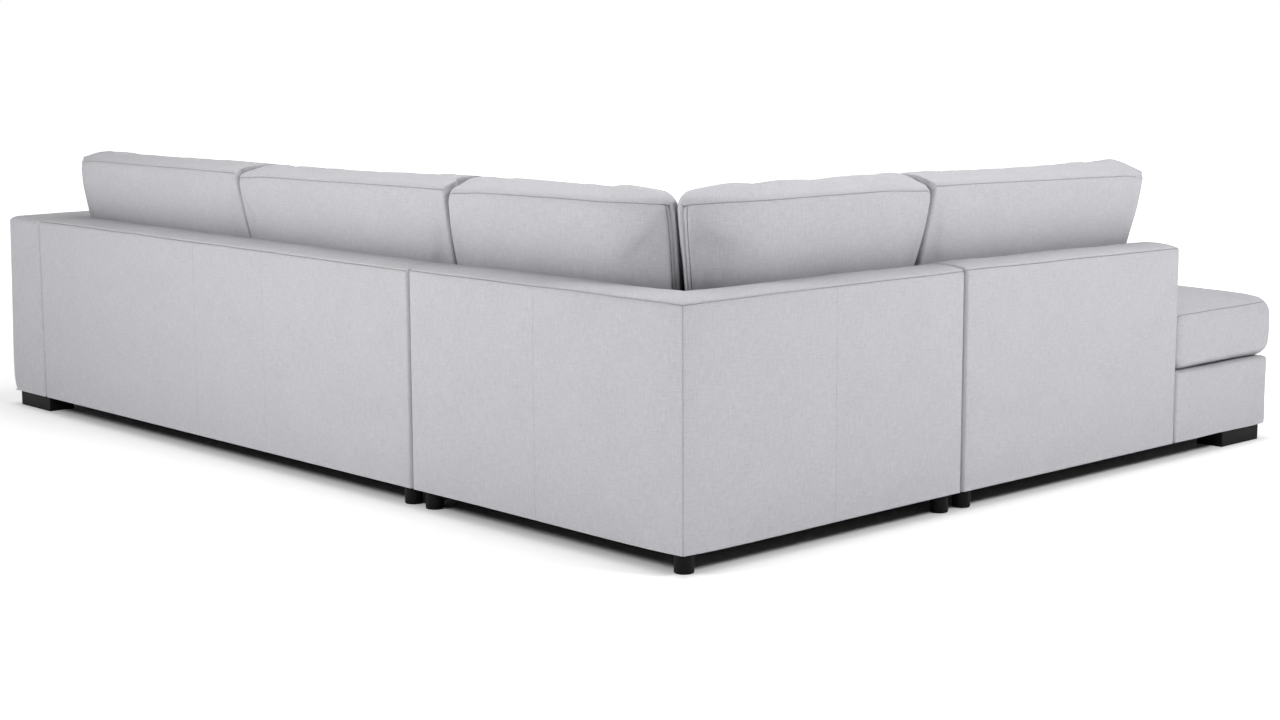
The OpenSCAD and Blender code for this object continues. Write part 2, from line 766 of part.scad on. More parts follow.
module arm_block_places() {
    x = long_side - arm_foot_end - block_foot_l / 2;
    translate([x, -block_foot_inset, 0]) children();
    translate([x, -corner_short + block_foot_inset + block_foot_w, 0]) children();
}

module chaise_block_places() {
    y = -short_side + chaise_foot_end + block_foot_l / 2;
    translate([block_foot_inset + block_foot_w, y, 0]) rotate(-90) children();
    translate([corner_long - block_foot_inset, y, 0]) rotate(-90) children();
}

module all_bolt_places() {
    long_round_places() children();
    corner_round_places() children();
    chaise_round_places() children();
    for (x = [-1, 1]) {
        arm_block_places() translate([x * block_foot_l / 4, -block_foot_w / 2, 0]) children();
        chaise_block_places() translate([x * block_foot_l / 4, -block_foot_w / 2, 0]) children();
    }
}

// Long module

module long_base_frame() {
    color(timber_color) difference() {
        ladder_frame(long_x + base_skin, arm_x, -wall_t, -corner_short + base_skin, seats = 2);
        foot_bolt_holes();
        on_long_wall() joint_bolt_holes(long_wall_l, wall_t);
        on_arm() joint_bolt_holes(arm_l, arm_w);
        bracket_places() tongue_screw_places() screw_hole();
    }
}

module on_long_springs() {
    middle = (long_x + base_skin + arm_x) / 2;
    spring_row(long_x + base_skin + board_t, middle - board_t / 2) children();
    spring_row(middle + board_t / 2, arm_x - board_t) children();
}

module long_seat_springs() {
    color(steel_color) on_long_springs() spring_between(-wall_t, -corner_short + base_skin);
}

module long_spring_clips() {
    color(steel_color) on_long_springs() clips_between(-wall_t, -corner_short + base_skin);
}

long_base = [long_x, arm_x, -wall_t, -corner_short];
long_base_radii = [joint_round, 0, 0, base_round];

module long_base_padding() {
    color(foam_color) difference() {
        base_padding_body(long_base, long_base_radii);
        long_dust_sheet();
        bracket_places() tongue_screw_places() screw_hole();
    }
}

module long_base_cover() {
    color(fabric_color) difference() {
        base_cover_body(long_base, long_base_radii);
        long_dust_sheet();
        bracket_places() tongue_screw_places() screw_hole();
    }
}

module long_back_frame() {
    color(timber_color) difference() {
        on_long_wall() wall_frame(long_wall_l, wall_t, lining_t, web_t);
        foot_bolt_holes();
        on_long_wall() joint_bolt_holes(long_wall_l, wall_t);
    }
}

module long_back_lining() { color(lining_color) on_long_wall() wall_lining(long_wall_l); }

module long_back_webbing() { color(web_color) on_long_wall() wall_webbing(skin, long_wall_l - skin); }

module long_back_padding() {
    color(foam_color) difference() {
        on_long_wall() wall_padding(long_wall_l, wall_t, joint_round, joint_round, seam_round);
        long_dust_sheet();
    }
}

module long_back_cover() {
    color(fabric_color) difference() {
        on_long_wall() wall_cover(long_wall_l, wall_t, joint_round, joint_round, seam_round);
        long_dust_sheet();
    }
}

module long_dust_cover() { color(black_color) difference() { long_dust_sheet(); foot_bolt_holes(); } }

// Arm

module arm_frame() {
    color(timber_color) difference() {
        on_arm() wall_frame(arm_l, arm_w, lining_t, lining_t);
        foot_bolt_holes();
        on_arm() joint_bolt_holes(arm_l, arm_w);
    }
}

module arm_lining() {
    color(lining_color) on_arm() {
        wall_lining(arm_l);
        translate([skin, -arm_w + skin, rail_top])
            cube([arm_l - 2 * skin, lining_t, wall_top - wall_crown - skin - rail_top]);
    }
}

module arm_padding() {
    color(foam_color) difference() {
        on_arm() wall_padding(arm_l, arm_w, end_round, end_round, wall_round);
        long_dust_sheet();
    }
}

module arm_cover() {
    color(fabric_color) difference() {
        on_arm() wall_cover(arm_l, arm_w, end_round, end_round, wall_round);
        long_dust_sheet();
    }
}

// Corner module

corner_base = [wall_t, corner_x, -wall_t, -corner_y];
corner_base_radii = [0, joint_round, 0, joint_round];

module corner_base_frame() {
    color(timber_color) difference() {
        ladder_frame(wall_t, corner_x - base_skin, -wall_t, -corner_y + base_skin);
        foot_bolt_holes();
        joint_bolt_holes(corner_x, wall_t);
        on_short_side() joint_bolt_holes(corner_y, wall_t);
        all_bracket_places() bridge_screw_places() screw_hole();
    }
}

module on_corner_springs() {
    spring_row(wall_t + board_t, corner_x - base_skin - board_t) children();
}

module corner_seat_springs() {
    color(steel_color) on_corner_springs() spring_between(-wall_t, -corner_y + base_skin);
}

module corner_spring_clips() {
    color(steel_color) on_corner_springs() clips_between(-wall_t, -corner_y + base_skin);
}

module corner_base_padding() {
    color(foam_color) difference() {
        base_padding_body(corner_base, corner_base_radii);
        corner_dust_sheet();
        all_bracket_places() bridge_screw_places() screw_hole();
    }
}

module corner_base_cover() {
    color(fabric_color) difference() {
        base_cover_body(corner_base, corner_base_radii);
        corner_dust_sheet();
        all_bracket_places() bridge_screw_places() screw_hole();
    }
}

module corner_back_frame() {
    color(timber_color) difference() {
        union() {
            wall_frame(corner_x, wall_t, lining_t, web_t);
            on_short_side() wall_frame(corner_y, wall_t, lining_t, web_t);
        }
        // Where the two frames cross, each is trimmed to the other's lining
        wall_lining(corner_x);
        on_short_side() wall_lining(corner_y);
        foot_bolt_holes();
        joint_bolt_holes(corner_x, wall_t);
        on_short_side() joint_bolt_holes(corner_y, wall_t);
    }
}

module corner_back_lining() {
    color(lining_color) {
        wall_lining(corner_x);
        on_short_side() wall_lining(corner_y);
    }
}

module corner_back_webbing() {
    color(web_color) {
        wall_webbing(wall_t, corner_x - skin);
        on_short_side() wall_webbing(wall_t, corner_y - skin);
    }
}

module corner_back_padding() {
    color(foam_color) difference() {
        union() {
            intersection() {
                wall_body(corner_x, wall_t, joint_round, joint_round, seam_round, fabric_t);
                long_half();
            }
            on_short_side() intersection() {
                wall_body(corner_y, wall_t, joint_round, joint_round, seam_round, fabric_t);
                long_half();
            }
        }
        wall_core(corner_x, wall_t);
        below_deck(corner_x, wall_t);
        on_short_side() wall_core(corner_y, wall_t);
        on_short_side() below_deck(corner_y, wall_t);
        corner_dust_sheet();
    }
}

// The cover of one side of the corner, cut on the diagonal where the two are sewn together
module corner_cover(length) {
    intersection() {
        wall_cover(length, wall_t, joint_round, joint_round, seam_round);
        long_half();
    }
}

module corner_cover_long() {
    color(fabric_color) difference() {
        corner_cover(corner_x);
        corner_dust_sheet();
    }
}

module corner_cover_short() {
    color(fabric_color) difference() {
        on_short_side() corner_cover(corner_y);
        corner_dust_sheet();
    }
}

module corner_dust_cover() { color(black_color) difference() { corner_dust_sheet(); foot_bolt_holes(); } }

// Chaise module

// Beside the wall, and past its end
chaise_inner = [wall_t, corner_long, -chaise_y, -wall_end - 2 * base_skin];
chaise_inner_radii = [0, base_round, joint_round, 0];
chaise_outer = [0, corner_long, -wall_end, -short_side];
chaise_outer_radii = [base_round, base_round, joint_round, base_round];
step_y = wall_end + base_skin;

module chaise_base_frame() {
    board_y = -short_side + base_skin;
    board_l = chaise_foot_end + block_foot_l - base_skin;
    board_w = block_foot_inset + block_foot_w - base_skin;
    color(timber_color) difference() {
        union() {
            ladder_frame(wall_t, corner_long - base_skin, -chaise_y - base_skin, -step_y - board_t);
            ladder_frame(base_skin, corner_long - base_skin, -step_y, board_y);
            // Boards that take the block feet
            for (x = [base_skin, corner_long - base_skin - board_w]) translate([x, board_y, frame_z])
                cube([board_w, board_l, board_t]);
        }
        foot_bolt_holes();
        on_chaise_wall() joint_bolt_holes(chaise_wall_l, wall_t);
        on_short_side() bracket_places_on(corner_short, corner_long) tongue_screw_places() screw_hole();
    }
}

module on_chaise_springs_inner() {
    on_short_side() spring_row(chaise_y + base_skin + board_t, step_y) children();
}

module on_chaise_springs_outer() {
    on_short_side() spring_row(step_y + board_t, short_side - base_skin - board_t) children();
}

module chaise_seat_springs() {
    color(steel_color) {
        on_chaise_springs_inner() spring_between(-wall_t, -corner_long + base_skin);
        on_chaise_springs_outer() spring_between(-base_skin, -corner_long + base_skin);
    }
}

module chaise_spring_clips() {
    color(steel_color) {
        on_chaise_springs_inner() clips_between(-wall_t, -corner_long + base_skin);
        on_chaise_springs_outer() clips_between(-base_skin, -corner_long + base_skin);
    }
}

module chaise_base_padding() {
    color(foam_color) difference() {
        union() {
            base_body(chaise_inner, chaise_inner_radii, fabric_t);
            base_body(chaise_outer, chaise_outer_radii, fabric_t);
        }
        base_core(chaise_inner, chaise_inner_radii);
        base_core(chaise_outer, chaise_outer_radii);
        chaise_dust_sheet();
        on_short_side() bracket_places_on(corner_short, corner_long) tongue_screw_places() screw_hole();
    }
}

module chaise_base_cover() {
    color(fabric_color) difference() {
        union() {
            base_body(chaise_inner, chaise_inner_radii);
            base_body(chaise_outer, chaise_outer_radii);
        }
        base_hollow(chaise_inner, chaise_inner_radii);
        base_hollow(chaise_outer, chaise_outer_radii);
        chaise_dust_sheet();
        on_short_side() bracket_places_on(corner_short, corner_long) tongue_screw_places() screw_hole();
    }
}

module chaise_back_frame() {
    color(timber_color) difference() {
        on_chaise_wall() wall_frame(chaise_wall_l, wall_t, lining_t, web_t);
        foot_bolt_holes();
        on_chaise_wall() joint_bolt_holes(chaise_wall_l, wall_t);
    }
}

module chaise_back_lining() { color(lining_color) on_chaise_wall() wall_lining(chaise_wall_l); }

module chaise_back_webbing() { color(web_color) on_chaise_wall() wall_webbing(skin, chaise_wall_l - skin); }

module chaise_back_padding() {
    color(foam_color) difference() {
        on_chaise_wall() wall_padding(chaise_wall_l, wall_t, joint_round, end_round, seam_round);
        chaise_dust_sheet();
    }
}

module chaise_back_cover() {
    color(fabric_color) difference() {
        on_chaise_wall() wall_cover(chaise_wall_l, wall_t, joint_round, end_round, seam_round);
        chaise_dust_sheet();
    }
}

module chaise_dust_cover() { color(black_color) difference() { chaise_dust_sheet(); foot_bolt_holes(); } }

// Loose cushions

seat_middle = (corner_long + arm_x) / 2;
back_middle = (corner_long + arm_x - bare_arm) / 2;
seat_rear = -wall_t - seat_space;
seat_front = -corner_short - seat_overhang;

module seat_cushion_arm() {
    color(fabric_color) seat_cushion(seat_middle + seat_space / 2, arm_x - seat_space, seat_rear, seat_front);
}

module seat_cushion_middle() {
    color(fabric_color)
        seat_cushion(corner_long + seat_space / 2, seat_middle - seat_space / 2, seat_rear, seat_front);
}

module seat_cushion_corner() {
    color(fabric_color) seat_cushion(wall_t + seat_space, corner_long - seat_space / 2, seat_rear,
        -corner_short + seat_space / 2);
}

module seat_cushion_chaise() {
    color(fabric_color) hooked_cushion(wall_t + seat_space, seat_space, corner_long - seat_space,
        -corner_short - seat_space / 2, -wall_end - hook_space, -short_side - seat_overhang);
}

module back_cushion_1() {
    color(fabric_color) back_cushion([back_middle + back_space / 2, 0], [arm_x - bare_arm, 0]);
}

module back_cushion_2() {
    color(fabric_color) back_cushion([corner_long + back_space / 2, 0], [back_middle - back_space / 2, 0]);
}

module back_cushion_3() {
    color(fabric_color)
        back_cushion([mitre_gap / sqrt(2) + mitre_shift, 1], [corner_long - back_space / 2, 0]);
}

module back_cushion_4() {
    color(fabric_color) on_short_side()
        back_cushion([mitre_gap / sqrt(2) - mitre_shift, 1], [corner_short - back_space / 2, 0]);
}

module back_cushion_5() {
    color(fabric_color) on_short_side()
        back_cushion([corner_short + back_space / 2, 0], [wall_end - bare_wall, 0]);
}

// Feet and hardware

module arm_block_feet() { color(black_color) arm_block_places() block_foot(); }

module chaise_block_feet() { color(black_color) chaise_block_places() block_foot(); }

module long_round_feet() { color(black_color) long_round_places() round_foot(); }

module corner_round_feet() { color(black_color) corner_round_places() round_foot(); }

module chaise_round_feet() { color(black_color) chaise_round_places() round_foot(); }

module foot_bolts() {
    color(steel_color) all_bolt_places() translate([0, 0, foot_h - foot_bolt_in]) foot_bolt();
}

module frame_bolts() {
    color(steel_color) {
        on_long_wall() joint_bolt_places(long_wall_l, wall_t) joint_bolt();
        on_arm() joint_bolt_places(arm_l, arm_w) joint_bolt();
        joint_bolt_places(corner_x, wall_t) joint_bolt();
        on_short_side() joint_bolt_places(corner_y, wall_t) joint_bolt();
        on_chaise_wall() joint_bolt_places(chaise_wall_l, wall_t) joint_bolt();
    }
}

module bracket_tongues() { color(steel_color) all_bracket_places() tongue(); }

module bracket_bridges() { color(steel_color) all_bracket_places() bridge(); }

module bracket_screws() {
    color(steel_color) all_bracket_places() {
        tongue_screw_places() bracket_screw();
        bridge_screw_places() bracket_screw();
    }
}

// The whole sofa, centred over its footprint
module placed() { translate([-long_side / 2, (short_side + seat_overhang) / 2, 0]) children(); }

placed() long_base_frame();
placed() long_seat_springs();
placed() long_spring_clips();
placed() long_base_padding();
placed() long_base_cover();
placed() long_back_frame();
placed() long_back_lining();
placed() long_back_webbing();
placed() long_back_padding();
placed() long_back_cover();
placed() long_dust_cover();
placed() arm_frame();
placed() arm_lining();
placed() arm_padding();
placed() arm_cover();
placed() corner_base_frame();
placed() corner_seat_springs();
placed() corner_spring_clips();
placed() corner_base_padding();
placed() corner_base_cover();
placed() corner_back_frame();
placed() corner_back_lining();
placed() corner_back_webbing();
placed() corner_back_padding();
placed() corner_cover_long();
placed() corner_cover_short();
placed() corner_dust_cover();
placed() chaise_base_frame();
placed() chaise_seat_springs();
placed() chaise_spring_clips();
placed() chaise_base_padding();
placed() chaise_base_cover();
placed() chaise_back_frame();
placed() chaise_back_lining();
placed() chaise_back_webbing();
placed() chaise_back_padding();
placed() chaise_back_cover();
placed() chaise_dust_cover();
placed() seat_cushion_arm();
placed() seat_cushion_middle();
placed() seat_cushion_corner();
placed() seat_cushion_chaise();
placed() back_cushion_1();
placed() back_cushion_2();
placed() back_cushion_3();
placed() back_cushion_4();
placed() back_cushion_5();
placed() arm_block_feet();
placed() long_round_feet();
placed() corner_round_feet();
placed() chaise_round_feet();
placed() chaise_block_feet();
placed() foot_bolts();
placed() frame_bolts();
placed() bracket_tongues();
placed() bracket_bridges();
placed() bracket_screws();
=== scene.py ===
# %% [markdown]
# # A corner sofa in pale woven cloth
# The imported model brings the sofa's timber frames, springs, foam and feet. This lesson
# upholsters it: every wall, base and cushion gets a cloth form worked out with numpy, and every
# material is built from shader nodes.

import bmesh
import bpy
import numpy as np
from mathutils import Matrix, Vector


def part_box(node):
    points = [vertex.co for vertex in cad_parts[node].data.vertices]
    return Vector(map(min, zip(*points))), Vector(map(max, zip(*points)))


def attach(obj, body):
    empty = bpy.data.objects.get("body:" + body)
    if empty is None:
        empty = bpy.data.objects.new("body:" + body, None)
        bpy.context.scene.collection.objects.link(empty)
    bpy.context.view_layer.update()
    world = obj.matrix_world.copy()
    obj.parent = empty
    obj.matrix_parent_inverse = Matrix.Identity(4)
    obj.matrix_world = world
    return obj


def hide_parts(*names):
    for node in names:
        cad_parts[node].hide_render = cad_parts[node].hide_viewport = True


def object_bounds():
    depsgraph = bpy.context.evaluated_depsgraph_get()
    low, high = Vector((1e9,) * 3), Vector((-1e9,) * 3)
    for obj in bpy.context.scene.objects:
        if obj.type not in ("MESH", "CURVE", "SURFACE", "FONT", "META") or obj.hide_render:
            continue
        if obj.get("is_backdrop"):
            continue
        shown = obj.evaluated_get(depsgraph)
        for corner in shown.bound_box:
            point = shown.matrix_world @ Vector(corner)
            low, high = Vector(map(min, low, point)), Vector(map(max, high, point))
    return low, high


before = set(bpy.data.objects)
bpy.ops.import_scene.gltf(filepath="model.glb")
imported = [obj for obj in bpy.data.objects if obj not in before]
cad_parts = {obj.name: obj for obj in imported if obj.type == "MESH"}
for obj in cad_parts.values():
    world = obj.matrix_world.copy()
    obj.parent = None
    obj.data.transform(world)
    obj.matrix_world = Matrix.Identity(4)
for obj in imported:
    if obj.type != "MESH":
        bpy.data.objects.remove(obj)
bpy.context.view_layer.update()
scene = bpy.context.scene


def added(name, data):
    """A new object in the scene."""
    thing = bpy.data.objects.new(name, data)
    scene.collection.objects.link(thing)
    return thing


corner_low, corner_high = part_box("corner_cover_long")
CORNER = np.array([corner_low.x, corner_high.y, 0.0])
print("the sofa's outer corner stands at", CORNER.round(4))

# %% [markdown]
# The photograph looks at the outer corner from behind, so the camera's place is given from that
# corner. Yaw and pitch turn the view, and a small roll tilts it.

# %% Camera
YAW, PITCH, ROLL = np.radians([-42.79, -8.710, -0.236])
PLACE = CORNER + [-3.5957, 3.46505, 1.28937]
LENS, SENSOR = 60.70, 36.0   # focal length and width of the picture, in mm

ahead = np.array([np.cos(YAW) * np.cos(PITCH), np.sin(YAW) * np.cos(PITCH), np.sin(PITCH)])
level_right = np.array([np.sin(YAW), -np.cos(YAW), 0.0])
level_up = np.cross(level_right, ahead)
right = level_right * np.cos(ROLL) + level_up * np.sin(ROLL)
up = level_up * np.cos(ROLL) - level_right * np.sin(ROLL)

camera = added("camera", bpy.data.cameras.new("camera"))
camera.data.lens, camera.data.sensor_width = LENS, SENSOR
turn = Matrix([list(v) for v in (right, up, -ahead)]).transposed().to_4x4()
camera.matrix_world = Matrix.Translation(Vector(PLACE)) @ turn
scene.camera = camera
print("camera at", PLACE.round(3), "with a lens of", camera.data.lens, "mm")

# %% [markdown]
# The short wing is the long wing mirrored over the corner's diagonal, so each wing is worked out
# in its own directions: x runs along the wing from the outer corner, y runs backwards to the
# outer face at y = 0, and z is height over the floor. Two small functions go between that frame
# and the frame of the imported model.

# %% A frame at the outer corner


def from_corner(points, turned=False):
    """Points in a wing's own directions as points of the model. The short wing swaps -x and y."""
    points = np.asarray(points, float)
    if turned:
        points = points[:, [1, 0, 2]] * [-1, -1, 1]
    return points + CORNER


def room_of(*nodes, turned=False):
    """Lowest and highest corner of some nodes together, in a wing's own directions."""
    boxes = [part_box(node) for node in nodes]
    low = np.min([b[0] for b in boxes], 0) - CORNER
    high = np.max([b[1] for b in boxes], 0) - CORNER
    if turned:
        low, high = np.array([-high[1], -high[0], low[2]]), np.array([-low[1], -low[0], high[2]])
    return low, high


for node in ("long_back_cover", "arm_cover", "chaise_base_cover"):
    print(node, [v.round(3).tolist() for v in room_of(node)])

# %% [markdown]
# Sewn upholstery shows thin, crisp seams on wide, calm panels. A grid that is even everywhere
# would need millions of faces for that. So the grid lines are about a centimetre apart, and
# crowd together only where a seam will run.

# %% Grid lines that crowd at the seams
STEP = 0.012
CLOSE = np.array([0, 1.1, 2.2, 3.6, 5.4, 8.0, 11.5, 16.0]) / 1000   # distances from a mark
NARROWEST = 0.0005   # between two lines


def grid_lines(low, high, marks=()):
    """Values from low to high about STEP apart, and at set small distances from each mark."""
    at = np.array([low, high, *marks])[:, None]
    near = np.concatenate([at - CLOSE, at + CLOSE]).ravel()
    near = near[(near > low) & (near < high)]
    even = np.linspace(low, high, max(3, int(round((high - low) / STEP)) + 1))
    even = even[np.abs(even[:, None] - near).min(1) > 0.6 * STEP]
    lines = np.unique(np.round(np.concatenate([[low], near, even, [high]]), 5))
    keep = np.append(np.diff(lines) > NARROWEST, True)
    return lines[keep]


# %% [markdown]
# Every piece of upholstery starts as the skin of a block: a box, or a box with one corner left
# out, for the cushion and the base that go round the end of the back wall. The skin is all
# quads, and each node's place on the block later says how far it is from any seam. The cloth's
# map is written from the same places, in metres, so the weave is as fine on every piece.

# %% The skin of a block


def block_skin(xs, ys, zs, notch=None, floor=True):
    """Nodes, quads and cloth map of a block's skin.

    Top and bottom are the grid of xs and ys, and the sides are its outline repeated at every z.
    A notch (x, y) leaves out the part of the block with less x and more y."""
    nx, ny, nz = len(xs) - 1, len(ys) - 1, len(zs) - 1
    solid = np.ones((nx, ny), bool)
    turns = [(0, 0), (nx, 0), (nx, ny), (0, ny)]
    if notch is not None:
        i, j = int(np.argmin(np.abs(xs - notch[0]))), int(np.argmin(np.abs(ys - notch[1])))
        solid[:i, j:] = False
        turns = [(0, 0), (nx, 0), (nx, ny), (i, ny), (i, j), (0, j)]
    used = np.zeros((nx + 1, ny + 1), bool)
    for a, b in ((0, 0), (0, 1), (1, 0), (1, 1)):
        used[a:nx + a, b:ny + b] |= solid
    number = np.cumsum(used.ravel()).reshape(used.shape) - 1
    count = int(used.sum())
    flat = np.stack([g[used] for g in np.meshgrid(xs, ys, indexing="ij")], 1)

    stretches = []
    for (a, b), (c, d) in zip(turns, turns[1:] + turns[:1]):
        steps = np.arange(abs(c - a) + abs(d - b))
        stretches.append(np.stack([a + np.sign(c - a) * steps, b + np.sign(d - b) * steps], 1))
    loop = np.concatenate(stretches)
    along_x = np.diff(np.append(loop, loop[:1], 0), axis=0)[:, 0] != 0
    m = len(loop)
    border = number[loop[:, 0], loop[:, 1]]
    middle = 2 * count + np.arange(m * (nz - 1)).reshape(nz - 1, m)
    rings = np.concatenate([border[None], middle, border[None] + count])

    nodes = [np.column_stack([flat, np.full(count, z)]) for z in (zs[0], zs[-1])]
    outline = np.stack([xs[loop[:, 0]], ys[loop[:, 1]]], 1)
    nodes.append(np.column_stack([np.tile(outline, (nz - 1, 1)), np.repeat(zs[1:-1], m)]))
    nodes = np.concatenate(nodes)

    i, j = np.nonzero(solid)
    lid = np.stack([number[i, j], number[i + 1, j], number[i + 1, j + 1], number[i, j + 1]], 1)
    on = np.roll(rings, -1, 1)
    sides = np.stack([rings[:-1], on[:-1], on[1:], rings[1:]], 2).reshape(-1, 4)
    # The cloth map takes x and y over the lids, and the places along and up over the sides
    quads = [lid + count, sides, lid[:, ::-1]]
    cloth = [nodes[part][..., :2] for part in quads]
    along = np.where(np.tile(along_x, nz)[:, None], *np.moveaxis(cloth[1], 2, 0))
    cloth[1] = np.stack([along, nodes[sides][..., 2]], 2)
    quads, cloth = (np.concatenate(parts if floor else parts[:2]) for parts in (quads, cloth))
    if not floor:
        kept, quads = np.unique(quads, return_inverse=True)
        nodes, quads = nodes[kept], quads.reshape(-1, 4)
    return nodes, quads, cloth


def block(low, high, marks=(), notch=None, floor=True):
    """The skin between two corners, its lines crowded at marks along x and at the notch."""
    along, across = (marks, ()) if notch is None else ((notch[0],), (notch[1],))
    xs, ys = grid_lines(low[0], high[0], along), grid_lines(low[1], high[1], across)
    return block_skin(xs, ys, grid_lines(low[2], high[2]), notch, floor)


# %% [markdown]
# First a block's edges are rounded. The block shrunk by its radii is the core, and each node is
# put back at a radius from the nearest point of that core. The radii may differ on all six
# sides, which gives an edge the form of a quarter of an ellipse.

# %% Rounded edges


def rounded(nodes, low, high, r_low, r_high, notch=None):
    """Nodes of a block moved onto the same block with rounded edges.

    c is the nearest point of the core, and v = (node - c) / radius. The new place is
    c + radius * v / |v|. Radii may be given once or for each node."""
    low, high, r_low, r_high = (np.asarray(v, float) for v in (low, high, r_low, r_high))
    cores = [(low + r_low, high - r_high)]
    if notch is not None:
        beside, past = low + r_low, high - r_high
        beside[..., 0], past[..., 1] = notch[0] + r_low[..., 0], notch[1] - r_high[..., 1]
        cores = [(beside, high - r_high), (low + r_low, past)]
    best = np.full((len(nodes), 1), np.inf)
    out = nodes.copy()
    for a, b in cores:
        c = np.clip(nodes, a, b)
        d = nodes - c
        size = np.linalg.norm(d / np.where(d < 0, r_low, r_high), axis=1, keepdims=True)
        size = np.maximum(size, 1e-6)
        nearer = size < best - 1e-9
        out, best = np.where(nearer, c + d / size, out), np.where(nearer, size, best)
    return out


def radii(nodes, x, y, z):
    """One row of radii for each node, from numbers or from one value per node."""
    return np.stack([np.broadcast_to(v, len(nodes)) for v in (x, y, z)], 1)


# %% [markdown]
# Then come the seams. All panels end on the block's edges. So a node's distance from a panel's
# seam is that to the nearest edge on the panel, and that to its plane off the panel.

# %% Distance from a seam


def panel_seam(nodes, axis, value, low, high, notch=None):
    """Distance of each node from the seam round the panel that lies at a value of an axis."""
    gaps = [nodes[:, k] - low[k] for k in range(3) if k != axis]
    gaps += [high[k] - nodes[:, k] for k in range(3) if k != axis]
    if notch is not None and axis == 2:
        gaps.append(np.maximum(nodes[:, 0] - notch[0], notch[1] - nodes[:, 1]))
    return np.maximum(np.abs(nodes[:, axis] - value), np.min(gaps, 0))


def groove(distance, depth, width=0.0016):
    """Depth of a sewn seam: a bell curve of its distance, with the cloth standing up beside it."""
    bell = np.exp(-(distance / width) ** 2)
    beside = np.exp(-((distance - 4 * width) / (2.2 * width)) ** 2)
    return depth * (bell - 0.18 * beside)


def hump(u):
    """1 in the middle of a span from -1 to 1, and 0 at its ends."""
    return 1 - np.clip(u, -1, 1) ** 2


def plateau(u):
    """The same, but near 1 over most of the span."""
    return 1 - np.clip(u, -1, 1) ** 4


def kept(part, u):
    """1 in the middle of a span, and a given part at its ends."""
    return part + (1 - part) * plateau(u)


def eased(u):
    """A smooth step from 0 to 1."""
    u = np.clip(u, 0, 1)
    return u * u * (3 - 2 * u)


# %% [markdown]
# Cloth over foam is never quite flat. A sum of sine waves in fixed chance directions gives a
# quiet unevenness that is the same at each run. Long waves stand for the foam, and short ones,
# close to the seams, for the pull of the thread.

# %% Unevenness
WAVES = 14       # sine waves in one sum
SUM_REACH = 5    # what their sum seldom passes


def ripple(points, length, seed):
    """Sum of sine waves about a length apart, between about -1 and 1."""
    rng = np.random.default_rng(seed)
    ways = rng.normal(size=(WAVES, 3))
    pitch = (2 * np.pi / length) * rng.uniform(0.6, 1.6, (WAVES, 1))
    ways *= pitch / np.linalg.norm(ways, axis=1)[:, None]
    return np.sin(points @ ways.T + rng.uniform(0, 2 * np.pi, WAVES)).sum(1) / SUM_REACH


def outward(points, quads):
    """Unit normals at the nodes: the sum of the normals of the quads that meet there."""
    a, b, c, d = (points[quads[:, k]] for k in range(4))
    face = np.cross(c - a, d - b)
    total = np.zeros_like(points)
    for k in range(4):
        np.add.at(total, quads[:, k], face)
    return total / np.maximum(np.linalg.norm(total, axis=1, keepdims=True), 1e-12)


# %% [markdown]
# The last step of every piece is the same: move the nodes along their normals by the padding,
# the unevenness and the seams, and write the result into a mesh. A line of painted shade along
# every seam is stored on the nodes too, for the cloth's material to darken.

# %% Make a piece of upholstery
LONG_WAVE, SHORT_WAVE, SHORT_SHARE = 0.34, 0.11, 0.3   # unevenness of the foam
PULL, PULL_WAVE, PULL_REACH = 0.0005, 0.022, 0.014   # pull of the thread beside a seam
GROOVE_SHADE_WIDTH = 0.0015   # half the width of the painted shade line along a seam
pieces = {}


def upholster(name, points, quads, cloth, seam, swell=0.0, body="sofa", turned=False,
              slot="cover_fabric", wave=0.0012, seed=1, depth=0.0035, free=1.0):
    """A mesh of nodes moved along their normals by swell + free * (waves + pull) - groove.

    seam is a node's distance from a seam. free is 1 where the cloth is loose, 0 where tight."""
    normal = outward(points, quads)
    pull = PULL * ripple(points, PULL_WAVE, seed + 50) * np.exp(-(seam / PULL_REACH))
    waves = ripple(points, LONG_WAVE, seed) + SHORT_SHARE * ripple(points, SHORT_WAVE, seed + 9)
    lift = swell + wave * free * waves + pull * free
    points = points + normal * (lift - groove(seam, depth))[:, None]
    points = from_corner(points, turned)
    if turned:
        quads, cloth = quads[:, ::-1], cloth[:, ::-1]
    mesh = bpy.data.meshes.new(name)
    mesh.vertices.add(len(points))
    mesh.vertices.foreach_set("co", points.astype(np.float32).ravel())
    mesh.loops.add(quads.size)
    mesh.loops.foreach_set("vertex_index", quads.astype(np.int32).ravel())
    mesh.polygons.add(len(quads))
    mesh.polygons.foreach_set("loop_start", np.arange(0, quads.size, 4, dtype=np.int32))
    mesh.polygons.foreach_set("use_smooth", np.ones(len(quads), bool))
    mesh.uv_layers.new(name="cloth")
    mesh.uv_layers["cloth"].data.foreach_set("uv", cloth.astype(np.float32).ravel())
    # Painted shade along each seam's groove: 1 on the seam, fading out within a few millimetres
    seam_shade_mask = mesh.attributes.new("seam_shade_mask", "FLOAT", "POINT")
    seam_shade_mask.data.foreach_set("value", np.exp(-(seam / GROOVE_SHADE_WIDTH) ** 2).astype(np.float32))
    mesh.update(calc_edges=True)
    piece = added(name, mesh)
    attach(piece, body)
    pieces[name] = piece
    print(f"{name}: {len(quads)} quads, from {points.min(0).round(3)} to {points.max(0).round(3)}")
    return piece


# %% [markdown]
# ## Back walls
# A back wall is a foam-covered frame in a tight cover: a flat outer panel, a domed band along
# the top, and a seam where they meet. The foam lifts each panel a few millimetres, but not where
# it is sewn down, so the panel rolls gently into its edges. The top seam sags a little.

